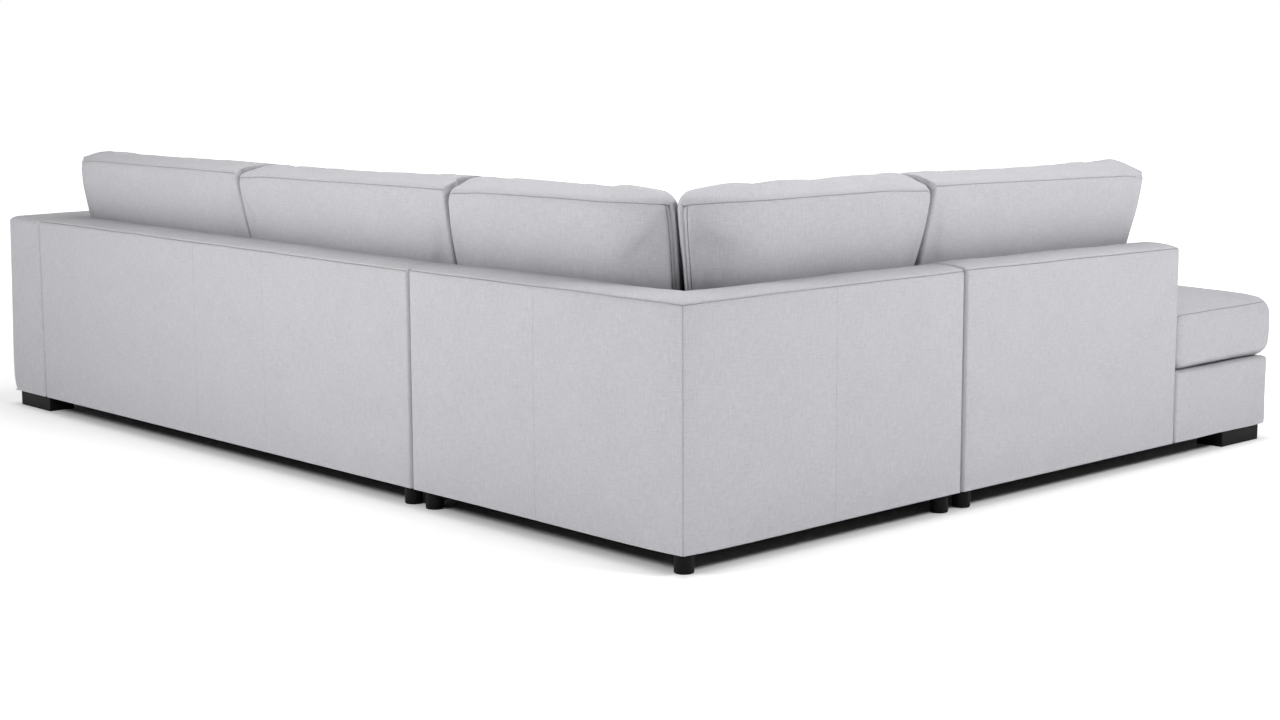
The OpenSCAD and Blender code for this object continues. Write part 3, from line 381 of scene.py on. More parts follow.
# %% Walls
TOP_R, SIDE_R = 0.013, 0.011   # height and depth of the rounding at the outer top edge
DOME = 0.009       # rise of the top band
TOP_REACH = 0.06   # how far below the top edge a change of its height still tells
SAG, SAG_WAVE = 0.0011, 0.7   # depth and length of the top seam's sag
PAD = 0.0045       # lift of a panel by its foam
DRAWN = 0.0008     # how far it is drawn in at a sewn edge
EASE = 0.032       # distance over which a panel lifts off its seam
FOLD_EASE = 0.045  # the same beside the seam down the outer corner
HEM = 0.012        # height over the lower edge in which a panel stays flat
WALL_GROOVE = 0.0017   # depth of a wall's seams


def wall_form(low, high, start_r, end_r, marks=(), dome=DOME, outer_r=SIDE_R, inner_r=0.03,
              foot_r=0.0012, banded=True, fall=(0.0, 0.0), seed=1):
    """A wall along x with its outer face at the highest y.

    Swell of a panel at distance s from its edge: PAD * (1 - exp(-s / EASE)) - DRAWN. The top
    edge lies lower by fall[0] at the start and by fall[1] at the end. Marks are the places of
    faint upright seams in the outer panel."""
    nodes, quads, cloth = block(low, high, marks, floor=False)
    points = rounded(nodes, low, high, [start_r, inner_r, foot_r], [end_r, outer_r, TOP_R])
    middle, half = (low[1] + high[1]) / 2, (high[1] - low[1]) / 2
    run = (2 * nodes[:, 0] - low[0] - high[0]) / (high[0] - low[0])
    up = eased((nodes[:, 2] - high[2] + TOP_REACH) / TOP_REACH)
    points[:, 2] += dome * hump((nodes[:, 1] - middle) / half) * up * kept(0.6, run)
    # The sag of the top seam, and its fall along the wall
    points[:, 2] += SAG * ripple(points[:, [0, 0, 0]], SAG_WAVE, seed + 3) * up
    points[:, 2] -= ((fall[0] + fall[1]) / 2 + (fall[1] - fall[0]) / 2 * run) * up
    face = panel_seam(nodes, 1, high[1], low, high)
    hem = np.clip((nodes[:, 2] - low[2]) / HEM, 0, 1)
    rest = np.exp(-face / EASE)
    swell = (PAD * (1 - rest) - DRAWN) * hem
    free = (1 - rest) * hem
    seam = np.full(len(nodes), 1.0)
    if banded:
        seam = np.maximum(high[1] - nodes[:, 1], high[2] - nodes[:, 2])
    outer = nodes[:, 1] > high[1] - 1e-6
    for mark in marks:
        # An upright seam is fainter, so it counts as 1.6 mm away, in a dent 2 cm wide
        upright = np.where(outer, np.abs(nodes[:, 0] - mark), 1.0)
        seam = np.minimum(seam, upright + 0.0016)
        swell = swell - 0.0005 * np.exp(-(upright / 0.010) ** 2)
    return nodes, points, quads, cloth, seam, swell, free


LONG_SEAMS = (1.779, 2.157)
low, high = room_of("long_back_cover")
nodes, *form, free = wall_form(low, high, 0.008, 0.010, LONG_SEAMS, fall=(0.003, -0.004), seed=5)
piece = upholster("long_back_upholstery", *form, seed=3, depth=WALL_GROOVE, free=free)
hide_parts("long_back_cover")

# %% [markdown]
# The corner's two walls are one run of upholstery, drawn as one straight wall and then folded
# at its middle. Every line along the wall meets its partner on the diagonal, so the top band
# turns without a seam, and a seam runs down the outer corner only. The foam is a little fuller
# there, so the panels bow out beside the corner.

# %% Corner walls
CORNER_SEAMS = (-0.533, 0.0, 0.540)   # the middle one is the fold
BOW, BOW_EASE, BOW_REACH = 0.0040, 0.11, 0.9   # depth, and where it has grown and ended

low, high = room_of("corner_cover_long")
long_run, short_run = high[0], room_of("corner_cover_short", turned=True)[1][0]
thick = -low[1]
nodes, points, quads, cloth, seam, swell, free = wall_form(
    np.array([-short_run, -thick, low[2]]), np.array([long_run, 0.0, high[2]]),
    0.008, 0.008, CORNER_SEAMS, seed=8)

# At the fold the seam is sharp, and the panels roll into it from both sides
fold = np.abs(nodes[:, 0])
on_face = nodes[:, 1] > -1e-6
seam = np.where(on_face, np.minimum(seam, fold), seam)
rest = np.where(on_face, np.exp(-fold / FOLD_EASE), 0)
swell = (swell + DRAWN) * (1 - rest) - DRAWN
swell += BOW * (1 - np.exp(-fold / BOW_EASE)) * (1 - eased(fold / BOW_REACH)) * on_face
free = free * (1 - rest)


def folded(points):
    """A straight wall about x = 0 folded into a corner.

    At depth t behind the outer face, x from 0 to L becomes t + x (L - t) / L."""
    t = np.clip(-points[:, 1], 0, thick)
    x = points[:, 0]
    along = np.where(x > 0, t + x * (long_run - t) / long_run, t - x * (short_run - t) / short_run)
    first = np.column_stack([along, points[:, 1], points[:, 2]])
    second = np.column_stack([-points[:, 1], -along, points[:, 2]])
    return np.where((x > 0)[:, None], first, second)


piece = upholster("corner_upholstery", folded(points), quads, cloth, seam, swell, seed=11,
                  depth=WALL_GROOVE, free=free)
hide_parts("corner_cover_long", "corner_cover_short")

# %% [markdown]
# The chaise's wall has a rounded free end, and its top falls a centimetre towards that end. The
# packed foam under it is level, so a copy is cut to the same fall. The loose triangles of the
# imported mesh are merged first.

# %% Chaise wall
low, high = room_of("chaise_back_cover", turned=True)
nodes, *form, free = wall_form(low, high, 0.008, 0.022, fall=(-0.002, 0.011), seed=13)
piece = upholster("chaise_back_upholstery", *form, seed=17, turned=True, depth=WALL_GROOVE,
                  free=free)
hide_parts("chaise_back_cover")

FOAM_FALL = 0.012
shell = bmesh.new()
shell.from_mesh(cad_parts["chaise_back_padding"].data)
bmesh.ops.remove_doubles(shell, verts=shell.verts, dist=0.00002)
mesh = bpy.data.meshes.new("chaise_back_foam")
shell.to_mesh(mesh)
shell.free()
points = np.empty(len(mesh.vertices) * 3, np.float32)
mesh.vertices.foreach_get("co", points)
points = points.reshape(-1, 3)
run = (CORNER[1] - points[:, 1] - low[0]) / (high[0] - low[0])
up = eased((points[:, 2] - high[2] + TOP_REACH) / TOP_REACH)
points[:, 2] -= FOAM_FALL * np.clip(run, 0, 1) * up
mesh.vertices.foreach_set("co", points.ravel())
cut_foam = added("chaise_back_foam", mesh)
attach(cut_foam, "sofa")
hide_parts("chaise_back_padding")

# %% [markdown]
# The arm is thicker and softer: its outer side spreads a little towards the floor, rolls in at
# the bottom, and has no crisp seam along the top. It is drawn as a wall too: x runs from its
# rear to its front, and its outer side lies at the highest y.

# %% Arm
ARM_SPREAD, ARM_TUCK = 0.0225, 0.020   # how far the side leans out, and rolls in at the bottom

low, high = room_of("arm_cover")
arm_low = np.array([0.0, low[0] - high[0], low[2]])
arm_high = np.array([high[1] - low[1], 0.0, high[2]])
nodes, points, quads, cloth, seam, swell, free = wall_form(
    arm_low, arm_high, 0.030, 0.026, dome=0.008, outer_r=0.040, inner_r=0.012, banded=False)
level = (points[:, 2] - arm_low[2]) / (arm_high[2] - arm_low[2])
outer = (points[:, 1] - arm_low[1]) / -arm_low[1]
spread = ARM_SPREAD * eased((1.05 - level) / 0.9) - ARM_TUCK * np.clip(1 - level * 10, 0, 1) ** 2
points[:, 1] += spread * np.clip(outer, 0, 1)
arm_points = np.column_stack([high[0] + points[:, 1], high[1] - points[:, 0], points[:, 2]])
piece = upholster("arm_upholstery", arm_points, quads, cloth, seam, swell, seed=23, free=free)
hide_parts("arm_cover")

# %% [markdown]
# ## Seat bases
# The covers of the bases are plain: a rounded upper edge and foam under the cloth. Only the
# chaise base shows in the photograph.

# %% Seat bases
BASE_PAD, BASE_HEM = 0.0025, 0.01   # lift of a side by its foam, and height of its flat hem


def base_form(name, node, side_r, notch=None, seed=1):
    """A base cover on a node's room. side_r are the radii at least x, most x, least y, most y."""
    low, high = room_of(node)
    nodes, quads, cloth = block(low, high, notch=notch, floor=False)
    r_low, r_high = [side_r[0], side_r[2], 0.001], [side_r[1], side_r[3], 0.014]
    points = rounded(nodes, low, high, r_low, r_high, notch)
    hem = np.clip((nodes[:, 2] - low[2]) / BASE_HEM, 0, 1)
    swell = BASE_PAD * hem * (nodes[:, 2] < high[2] - 1e-6)
    piece = upholster(name, points, quads, cloth, np.full(len(nodes), 1.0), swell, seed=seed)
    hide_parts(node)


base_form("long_base_upholstery", "long_base_cover", [0.007, 0.002, 0.014, 0.002], seed=31)
base_form("corner_base_upholstery", "corner_base_cover", [0.002, 0.007, 0.007, 0.002], seed=37)
wall_low, wall_high = room_of("chaise_back_cover")
base_form("chaise_base_upholstery", "chaise_base_cover", [0.012, 0.014, 0.014, 0.006],
          notch=(wall_high[0], wall_low[1]), seed=41)

# %% [markdown]
# A stuffed cushion isn't smooth: its cloth is a little larger than its filling, so it swells
# between the seams and falls into soft folds. For these, the cushion's form on a coarse even
# grid becomes a closed cloth, which a slight pressure fills. How far each grid point has moved
# is then added to the fine form. The broad swelling is mostly left out, since the form already
# has it, and the folds fade beside a seam, where the thread holds the cloth.

# %% Let a cushion's cloth settle
MESH_STEP = 0.018    # between the points of the coarse grid
PRESSURE, FRAMES = 1.5, 20
SPREADS = 40         # rounds of averaging that leave the broad swelling only
SWELL_KEPT = 0.10    # share of the broad swelling that is kept
FOLD_LIMIT = 0.004   # the furthest that a fold moves a node
SEAM_HOLD = 0.04     # how far from a seam the thread still holds the cloth
CUSHION_WAVE, CUSHION_GROOVE = 0.0014, 0.0014   # unevenness, and depth of the seams


def spread_out(values, pairs):
    """Values at the nodes, averaged again and again with those of the nodes next to them."""
    count = np.bincount(pairs.ravel(), minlength=len(values))[:, None] + 1.0
    for _ in range(SPREADS):
        total = values.copy()
        np.add.at(total, pairs[:, 0], values[pairs[:, 1]])
        np.add.at(total, pairs[:, 1], values[pairs[:, 0]])
        values = total / count
    return values


def settled(name, form, low, high, notch=None):
    """A function that gives the settled cloth's shift at any node of the block.

    Shift = SWELL_KEPT * broad part + (whole - broad part), the second held under FOLD_LIMIT."""
    lines = []
    for k in range(3):
        stops = np.unique([low[k], high[k]] + ([notch[k]] if notch is not None and k < 2 else []))
        parts = [np.linspace(u, v, max(2, int(round((v - u) / MESH_STEP))) + 1)[:-1]
                 for u, v in zip(stops[:-1], stops[1:])]
        lines.append(np.append(np.concatenate(parts), stops[-1]))
    nodes, quads, _ = block_skin(*lines, notch)
    rest = form(nodes)
    mesh = bpy.data.meshes.new("settling")
    mesh.from_pydata(rest.tolist(), [], quads.tolist())
    cushion = added("settling", mesh)
    cloth = cushion.modifiers.new("cloth", "CLOTH")
    cloth.settings.effector_weights.gravity = 0.0
    cloth.settings.use_pressure = True
    cloth.settings.uniform_pressure_force = PRESSURE
    cloth.settings.shrink_min = -0.02   # the cloth is cut 2% larger than the form
    cloth.settings.bending_stiffness = 0.3
    cloth.settings.quality = 5
    cloth.point_cache.frame_start, cloth.point_cache.frame_end = 1, FRAMES
    for step in range(1, FRAMES + 1):
        scene.frame_set(step)
    shape = cushion.evaluated_get(bpy.context.evaluated_depsgraph_get()).to_mesh()
    moved = np.empty(len(rest) * 3)
    shape.vertices.foreach_get("co", moved)
    shift = moved.reshape(-1, 3) - rest
    bpy.data.objects.remove(cushion)
    bpy.data.meshes.remove(mesh)
    scene.frame_set(1)

    pairs = np.unique(np.sort(np.concatenate([quads[:, [0, 1]], quads[:, [1, 2]]]), axis=1), axis=0)
    broad = spread_out(shift, pairs)
    folds = shift - broad
    size = np.linalg.norm(folds, axis=1, keepdims=True)
    folds = folds * np.minimum(1, FOLD_LIMIT / np.maximum(size, 1e-9))

    def on_grid(nodes):
        """Places counted in grid lines along x, y and z."""
        return np.stack([np.interp(nodes[:, k], line, np.arange(len(line)))
                         for k, line in enumerate(lines)], 1)

    table = np.zeros([len(line) for line in lines] + [3])
    table[tuple(np.round(on_grid(nodes)).astype(int).T)] = SWELL_KEPT * broad + folds
    print(f"{name}: cloth moved {1000 * np.linalg.norm(shift, axis=1).max():.1f} mm at most, folds "
          f"{1000 * size.max():.1f} mm")

    def look_up(nodes):
        """The shift between the grid points, in proportion along x, y and z."""
        place = on_grid(nodes)
        base = np.minimum(place.astype(int), np.array([len(line) - 2 for line in lines]))
        part = place - base
        out = np.zeros_like(nodes)
        for i, j, k in np.ndindex(2, 2, 2):
            share = np.prod(np.where([i, j, k], part, 1 - part), axis=1)
            out += share[:, None] * table[base[:, 0] + i, base[:, 1] + j, base[:, 2] + k]
        return out

    return look_up


def loosened(seam):
    """0 at a seam, and near 1 from twice SEAM_HOLD on."""
    return 1 - np.exp(-(seam / SEAM_HOLD) ** 2)


def filling(seam, lift, drawn):
    """Lift of a panel by its filling, less what the seam draws in."""
    return lift * (1 - np.exp(-seam / 0.03)) - drawn


# %% [markdown]
# ## Loose cushions
# A boxed cushion is two panels joined by a border. It stands fullest in the middle and is drawn
# in where it is sewn. The back cushions also lean: their rear panel touches the rounded inner
# edge of the wall, and everything above lies further back with height. Where two of them meet,
# the ends press flat against each other, so a thin dark line is left. At a free end the
# upright corners roll in.

# %% Back cushions against the wall
LEAN = np.radians(16.0)
wall_t, wall_round, wall_top = 0.152, 0.030, 0.655   # depth, inner rounding, height
rest_gap = 0.0004   # between a cushion and the wall it rests on
edge_t, edge_z = wall_t - wall_round, wall_top - wall_round
back_t, back_crown, back_swell = 0.205, 0.034, 0.026   # a cushion's depth and fullness
seat_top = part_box("back_cushion_1")[0].z
back_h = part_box("back_cushion_1")[1].z - seat_top - back_crown
print("a back cushion is", round(back_h, 3), "m high and leans by", round(float(LEAN), 3))


def rear_face(z):
    """Distance of a back cushion's rear face from the wall's outer face, at a height."""
    return edge_t + (wall_round + rest_gap - (z - edge_z) * np.sin(LEAN)) / np.cos(LEAN)


def top_arch(across, flat):
    """Rise of a top panel, 0 at its rear seam, as a share of its crown.

    In the middle of the run it is an arch with its peak past the middle. Where flat is 1, at a
    far end, the panel slopes up to the front instead."""
    v = (1 - across) / 2
    arch = np.where(v < 0.62, 1 - ((v - 0.62) / 0.62) ** 2, 1 - 0.5 * ((v - 0.62) / 0.38) ** 2)
    return arch * (1 - flat) + eased(v / 0.8) * flat


# %% [markdown]
# Each cushion differs a little, so one function makes all five from a few lengths. Its block has
# x along the wall, y from front to rear and z up. Each step after the rounding moves points by a
# length that fades out smoothly.

# %% One back cushion
END_REACH = 0.16   # how far from an end its own form reaches
END_R = 0.004      # radius along x at a square end
START_R = 0.005    # added at the start's upright corners
NEAR_R = (0.007, 0.016)   # added at the far end's: below, and more near the top
FREE_R = (0.044, 0.034)   # the same where no neighbour stands
CUT_R = (0.034, 0.010)    # the same at a cut end, all over
TUCK = 0.034       # how far round a square end the panels' seams lie
CUT_SEAM = 0.019   # how far they lie from a cut end, on the panels


def back_cushion(number, start, end, lift, crown, turned=False, mitre=None, slump=0.0, drawn=0.0,
                 over=0.0, bulge=0.0, dish=0.0, outer=False, seed=1):
    """Cushion number n between two ends, each [place, slope].

    An end's x is place + slope * t, where t is the distance from the wall's outer face. lift
    and crown are heights at the start and the end: of the top seam over its usual place, and of
    the top's middle over its seam. mitre leans the cut end by (place, change with height).
    At the rear's top, slump draws the far end in and over leans the start over its neighbour.
    drawn draws the far end in at the bottom, bulge pushes a cut end out in its front half, and
    dish turns the rear panel in beside it. outer says that the far end has no neighbour."""
    a, b = back_t / 2, back_h / 2
    t_mid = rear_face(seat_top + b) + a
    x0, x1 = (place + slope * t_mid for place, slope in (start, end))
    low, high = np.array([x0, -a, -b]), np.array([x1, a, b])
    is_cut = mitre is not None

    def edges(nodes, near0, near1, cut):
        """Radii at the low and at the high sides, one row for each node."""
        corner = eased((np.abs(nodes[:, 1]) - (a - 0.040)) / 0.034)
        high_up = eased((nodes[:, 2] / b - 0.45) / 0.5)
        below, above = FREE_R if outer else NEAR_R
        r_x1 = END_R + corner * (below + above * high_up)
        r_x0 = CUT_R[0] + CUT_R[1] * high_up if is_cut else END_R + corner * START_R
        reach = np.minimum(nodes[:, 0] - x0, x1 - nodes[:, 0])
        at_end = eased(1 - reach / 0.02) * (1 - cut)
        r_z = (0.026 + 0.014 * cut + 0.016 * near1 * corner) * (1 - 0.72 * at_end * (1 - corner))
        more1, more0 = 0.018 if outer else -0.017, 0.010 if is_cut else -0.018
        r_y = 0.030 + more1 * near1 + more0 * near0
        return radii(nodes, r_x0, r_y, 0.028), radii(nodes, r_x1, r_y, r_z)

    def form(nodes):
        """The cushion's form: nodes of the block, rounded, crowned, leant and drawn in."""
        from0, to1 = nodes[:, 0] - x0, x1 - nodes[:, 0]
        way = from0 / (x1 - x0)
        near0, near1 = eased(1 - from0 / END_REACH), eased(1 - to1 / END_REACH)
        cut = near0 if is_cut else 0 * near0
        points = rounded(nodes, low, high, *edges(nodes, near0, near1, cut))

        # Beside the mitre the rear panel turns away gradually, over about 24 cm
        depth, level = -points[:, 1], points[:, 2] / b
        turn_in = dish * np.clip(1 - from0 / 0.24, 0, 1) ** 1.7
        turn_in = turn_in * (0.55 + 0.45 * eased((level + 0.07) / 0.6))
        depth = depth + turn_in * np.clip(-depth / a, 0, 1)

        # Fullness of the front, height of the top, and the lean
        across, run = np.clip(points[:, 1] / a, -1, 1), 2 * way - 1
        swell = back_swell * np.clip(depth / a, 0, 1) * hump(level) * kept(0.5, run)
        raised = (lift[0] * (1 - way) + lift[1] * way) * (level + 1) / 2
        peak, flat = crown[0] * (1 - way) + crown[1] * way, eased(1 - to1 / 0.14)
        rise = peak * np.maximum(level, 0) * top_arch(across, flat)
        z = seat_top + b + points[:, 2] + raised + rise * (1 - 0.35 * cut)
        t = rear_face(z) + a + depth + swell
        x = points[:, 0] + (t - t_mid) * (start[1] * (1 - way) + end[1] * way)

        # A cut end bulges, a far end is drawn in towards its top and bottom
        full = (1 - np.abs(level) ** 12) * plateau((across + 0.42) / 0.50)
        x -= full * (1 + 0.35 * eased((0.84 - z) / 0.2)) * bulge * near0
        up, down = np.clip((z - 0.64) / 0.23, 0, 1.1) ** 1.6, np.clip((0.80 - z) / 0.16, 0, 1.3)
        inside = a - points[:, 1]
        x -= slump * up * way ** 3 * eased((0.13 - inside) / 0.10) + drawn * down ** 2 * near1
        x -= over * up * eased((0.078 - inside) / 0.03) * eased(1 - from0 / 0.08)
        if is_cut:
            x += (mitre[0] + mitre[1] * (np.clip(z, 0.58, 0.92) - 0.66)) * (1 - way)
        return np.column_stack([x, -t, z])

    node = f"back_cushion_{number}"
    nodes, quads, cloth = block(low, high, (x0 + CUT_SEAM,) if is_cut else ())

    # Seams run round the rear and the front panel
    seam = np.full(len(nodes), 1.0)
    ends = ((nodes[:, 0] - x0, -CUT_SEAM if is_cut else TUCK), (x1 - nodes[:, 0], TUCK))
    for side in (1, -1):
        off = a - side * nodes[:, 1]
        seam = np.minimum(seam, np.maximum(off, np.minimum(b - nodes[:, 2], nodes[:, 2] + b)))
        for reach, tuck in ends:
            round_end = np.where(reach < 1e-6, np.abs(off - tuck), 1.0)
            upright = np.where(off < 1e-6, np.abs(reach + tuck), round_end)
            seam = np.minimum(seam, upright)

    # The cloth is tight near an end
    free = 1 - 0.7 * eased(1.4 - np.minimum(ends[0][0], ends[1][0]) / 0.03)
    loose = (1.4 * free - 0.4) * loosened(seam)
    points = form(nodes) + settled(node, form, low, high)(nodes) * loose[:, None]
    pad = filling(seam, lift=0.0035, drawn=0.002)
    piece = upholster(f"{node}_cover", points, quads, cloth, seam, pad, node, turned,
                      "cushion_fabric", CUSHION_WAVE, seed, CUSHION_GROOVE, free)
    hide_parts(node)


# %% [markdown]
# Places along a wall are measured from the outer corner. The filling has settled, so two
# cushions meet 16 to 27 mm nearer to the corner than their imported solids.

# %% The five back cushions
joint_l, joint_s = 1.070, 1.046   # modules' joints on the long and short wing
arm_x, wall_end = 3.150, 2.055    # where these wings' walls end
bare_arm, bare_wall = 0.070, 0.040   # bare lengths at their ends
middle = (joint_l + arm_x - bare_arm) / 2
space = 0.004   # between two cushions
mitre_place, shift = 0.016 / 2 ** 0.5, 0.010   # half the gap at the mitre, and its shift
nip_a, nip_l, nip_s = 0.016, 0.027, 0.023   # how much nearer to the corner they meet
spill = 0.008   # how far the last cushion has spread towards its wall's end


def meeting(place, nip, side):
    """The end of a cushion on one side, -1 or 1, of the place where it meets the next."""
    return [place + side * space / 2 - nip, 0]


back_cushion(1, meeting(middle, nip_a, 1), [arm_x - bare_arm, 0], lift=(0.008, 0.008),
             crown=(0.015, 0.015), slump=0.036, over=0.012, outer=True, seed=61)
back_cushion(2, meeting(joint_l, nip_l, 1), meeting(middle, nip_a, -1), lift=(0.010, 0.000),
             crown=(0.024, 0.020), slump=0.012, over=0.030, seed=62)
back_cushion(3, [mitre_place + shift, 1], meeting(joint_l, nip_l, -1), lift=(0.014, 0.008),
             crown=(0.026, 0.022), mitre=(-0.002, 0.082), slump=0.034, bulge=0.0115, dish=0.080,
             seed=63)
back_cushion(4, [mitre_place - shift, 1], meeting(joint_s, nip_s, -1), lift=(0.016, 0.012),
             crown=(0.030, 0.029), turned=True, mitre=(0.001, -0.103), slump=0.006, drawn=0.014,
             bulge=0.0065, dish=0.075, seed=64)
back_cushion(5, meeting(joint_s, nip_s, 1), [wall_end - bare_wall + spill, 0],
             lift=(0.018, -0.004), crown=(0.021, 0.038), turned=True, slump=-0.006, over=0.008,
             outer=True, seed=65)

# %% [markdown]
# The seat cushions are thicker and firmer, with rounded edges. The chaise's cushion steps out
# round the end of the back wall, and its outer side stands a few millimetres proud of the base.

# %% Seat cushions


def seat_cushion(name, notch=None, r_low=(0.028, 0.028, 0.028), r_high=(0.028, 0.028, 0.032),
                 proud=0.0, seed=1):
    """A boxed seat cushion in its node's room, fullest in the middle of its top panel."""
    low, high = room_of(name)
    crown = 0.012
    high[2] -= crown
    nodes, quads, cloth = block(low, high, notch=notch)

    def form(nodes):
        """The block rounded, with the top panel's crown."""
        points = rounded(nodes, low, high, r_low, r_high, notch)
        run = 2 * (nodes - low) / (high - low) - 1
        points[:, 2] += crown * np.maximum(run[:, 2], 0) * plateau(run[:, 0]) * kept(0.8, run[:, 1])
        return points

    run = 2 * (nodes - low) / (high - low) - 1
    seam = np.minimum(panel_seam(nodes, 2, high[2], low, high, notch),
                      panel_seam(nodes, 2, low[2], low, high, notch))
    points = form(nodes) + settled(name, form, low, high, notch)(nodes) * loosened(seam)[:, None]
    side = (nodes[:, 2] > low[2] + 1e-6) & (nodes[:, 2] < high[2] - 1e-6)
    pad = filling(seam, lift=0.0025, drawn=0.001) + proud * hump(run[:, 2]) * side
    piece = upholster(f"{name}_cover", points, quads, cloth, seam, pad, slot="cushion_fabric",
                      wave=CUSHION_WAVE, seed=seed, depth=CUSHION_GROOVE)
    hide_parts(name)


for k, name in enumerate(("seat_cushion_arm", "seat_cushion_middle", "seat_cushion_corner")):
    seat_cushion(name, seed=71 + k)
seat_cushion("seat_cushion_chaise", (0.155, -2.065), (0.042, 0.055, 0.040), (0.034, 0.030, 0.042),
             0.004, seed=81)

# %% [markdown]
# ## Materials
# Shader nodes are easier to read as arithmetic. A Wire stands for one socket, and adding or
# multiplying two wires puts the Math node between them. Every other node comes from one method.

# %% Shader maps as expressions


class Wire:
    """An output socket of a shader map that can be used in expressions."""

    def __init__(self, sheet, socket):
        self.sheet, self.socket = sheet, socket

    def other(self, output):
        """Another output of the same node."""
        return Wire(self.sheet, self.socket.node.outputs[output])

    def __add__(self, other):
        return self.sheet.math("ADD", self, other)

    def __sub__(self, other):
        return self.sheet.math("SUBTRACT", self, other)

    def __rsub__(self, other):
        return self.sheet.math("SUBTRACT", other, self)

    def __mul__(self, other):
        return self.sheet.math("MULTIPLY", self, other)

    __radd__, __rmul__ = __add__, __mul__


class Sheet:
    """A node tree, and the means to add nodes to it."""

    def __init__(self, tree, shader):
        self.tree, self.shader = tree, tree.nodes[shader]

    def node(self, kind, settings=None, inputs=(), output=0):
        """A node with its settings, and values or wires for its inputs by number or name."""
        made = self.tree.nodes.new(kind)
        for key, value in (settings or {}).items():
            setattr(made, key, value)
        pairs = inputs.items() if isinstance(inputs, dict) else enumerate(inputs)
        for key, value in pairs:
            if isinstance(value, Wire):
                self.tree.links.new(value.socket, made.inputs[key])
            else:
                made.inputs[key].default_value = value
        return Wire(self, made.outputs[output])

    def math(self, operation, *values):
        return self.node("ShaderNodeMath", {"operation": operation}, values)

    def feed(self, socket, wire):
        """A wire led to a socket of the shader."""
        self.tree.links.new(wire.socket, self.shader.inputs[socket])


class Finish(Sheet):
    """A material with a Principled shader."""

    def __init__(self, name, **constants):
        self.material = bpy.data.materials.new(name)
        self.material.use_nodes = True
        super().__init__(self.material.node_tree, "Principled BSDF")
        for socket, value in constants.items():
            self.shader.inputs[socket.replace("_", " ")].default_value = value

    def noise(self, vector, scale, detail=3.0):
        return self.node("ShaderNodeTexNoise", {},
                         {"Vector": vector, "Scale": scale, "Detail": detail})

    def stretched(self, vector, x, y, z=1.0):
        """A vector scaled differently along its axes."""
        return self.node("ShaderNodeMapping", {}, {"Vector": vector, "Scale": (x, y, z)})

    def mixed(self, share, dark, light):
        """Two colours mixed by a share."""
        return self.node("ShaderNodeMix", {"data_type": "RGBA"}, {0: share, 6: dark, 7: light}, 2)

    def bump(self, height, distance, strength=1.0):
        self.feed("Normal", self.node("ShaderNodeBump", {}, {
            "Height": height, "Distance": distance, "Strength": strength}))


# %% [markdown]
# The cloth is a fine plain weave of pale grey yarn, seen from a few metres away. Warp and weft
# go over and under each other, and a thicker or darker yarn makes a short faint streak. The
# streaks come from noise that is drawn out along the yarn, on the piece's own cloth map, so they
# follow each panel. Each seam's groove gets painted shade in the colour, darkest on the seam line,
# and another noise lets it come and go.

# %% Woven cloth
YARN = 0.0019
# Streaks of four sizes: scale along u, scale along v, share
STREAKS = ((520, 22, 0.85), (22, 520, 0.75), (230, 60, 0.55), (60, 230, 0.55))
DARK_YARN, LIGHT_YARN = (0.415, 0.411, 0.434, 1), (0.585, 0.580, 0.608, 1)
# Colour of the painted shade in a seam's groove
GROOVE_SHADE_COLOUR = [c * 0.34 for c in DARK_YARN[:3]] + [1]


def woven_cloth(name):
    """Streaks and a slow cloudiness over a fine weave, and painted shade along the seams."""
    finish = Finish(name, Roughness=0.92, Sheen_Weight=0.12, Sheen_Roughness=0.5,
                    Specular_IOR_Level=0.25)
    cloth = finish.node("ShaderNodeUVMap", {"uv_map": "cloth"})
    u = finish.node("ShaderNodeSeparateXYZ", {}, [cloth])
    turns = 2 * np.pi / YARN
    over = finish.math("SINE", u * turns) * finish.math("SINE", u.other(1) * turns)
    streaks = 0
    for along_u, along_v, share in STREAKS:
        yarn = finish.noise(finish.stretched(cloth, along_u, along_v), 1.0, 2.0)
        streaks = (yarn - 0.5) * share + streaks
    cloud = finish.noise(cloth, 9.0, 3.0)
    shade = streaks + over * 0.08 + (cloud - 0.5) * 0.22 + 0.5
    base = finish.mixed(shade, DARK_YARN, LIGHT_YARN)
    # Painted shade on the seam lines, made patchy by a noise
    groove_shade_noise = finish.noise(cloth, 38.0, 2.0)
    seam_shade_mask = finish.node("ShaderNodeAttribute", {"attribute_name": "seam_shade_mask"}, output="Fac")
    groove_shade_share = seam_shade_mask * (groove_shade_noise * 0.9 + 0.35)
    finish.feed("Base Color", finish.mixed(groove_shade_share, base, GROOVE_SHADE_COLOUR))
    finish.bump(over * 0.3 + streaks * 1.2, 0.0006, 0.5)
    return finish.material


cover_cloth, cushion_cloth = woven_cloth("grey_woven_cloth"), woven_cloth("grey_cushion_cloth")
for name, piece in pieces.items():
    piece.data.materials.append(cushion_cloth if "cushion" in name else cover_cloth)

# %% [markdown]
# Inside the covers and under them are the plain materials of the trade: pine boards, hardboard,
# foam, elastic webbing, spring steel, and a black non-woven cloth against dust. The feet are
# lacquered black. Each is a noise on Object coordinates, drawn out along the grain or thread.

# %% Timber, foam, webbing, steel and feet


def plain_finish(name, dark, light, stretch, scale, detail, bump, **constants):
    """A finish whose colour and bump follow one stretched noise, from dark to light."""
    finish = Finish(name, **constants)
    place = finish.node("ShaderNodeTexCoord", {}, (), "Object")
    grain = finish.noise(finish.stretched(place, *stretch), scale, detail)
    fine = finish.noise(place, scale * 6, 2.0)
    finish.feed("Base Color", finish.mixed(grain * 1.3 - 0.15 + (fine - 0.5) * 0.3, dark, light))
    finish.feed("Roughness", constants["Roughness"] + (grain - 0.5) * 0.12)
    finish.bump(grain + fine * 0.4, bump)
    return finish.material


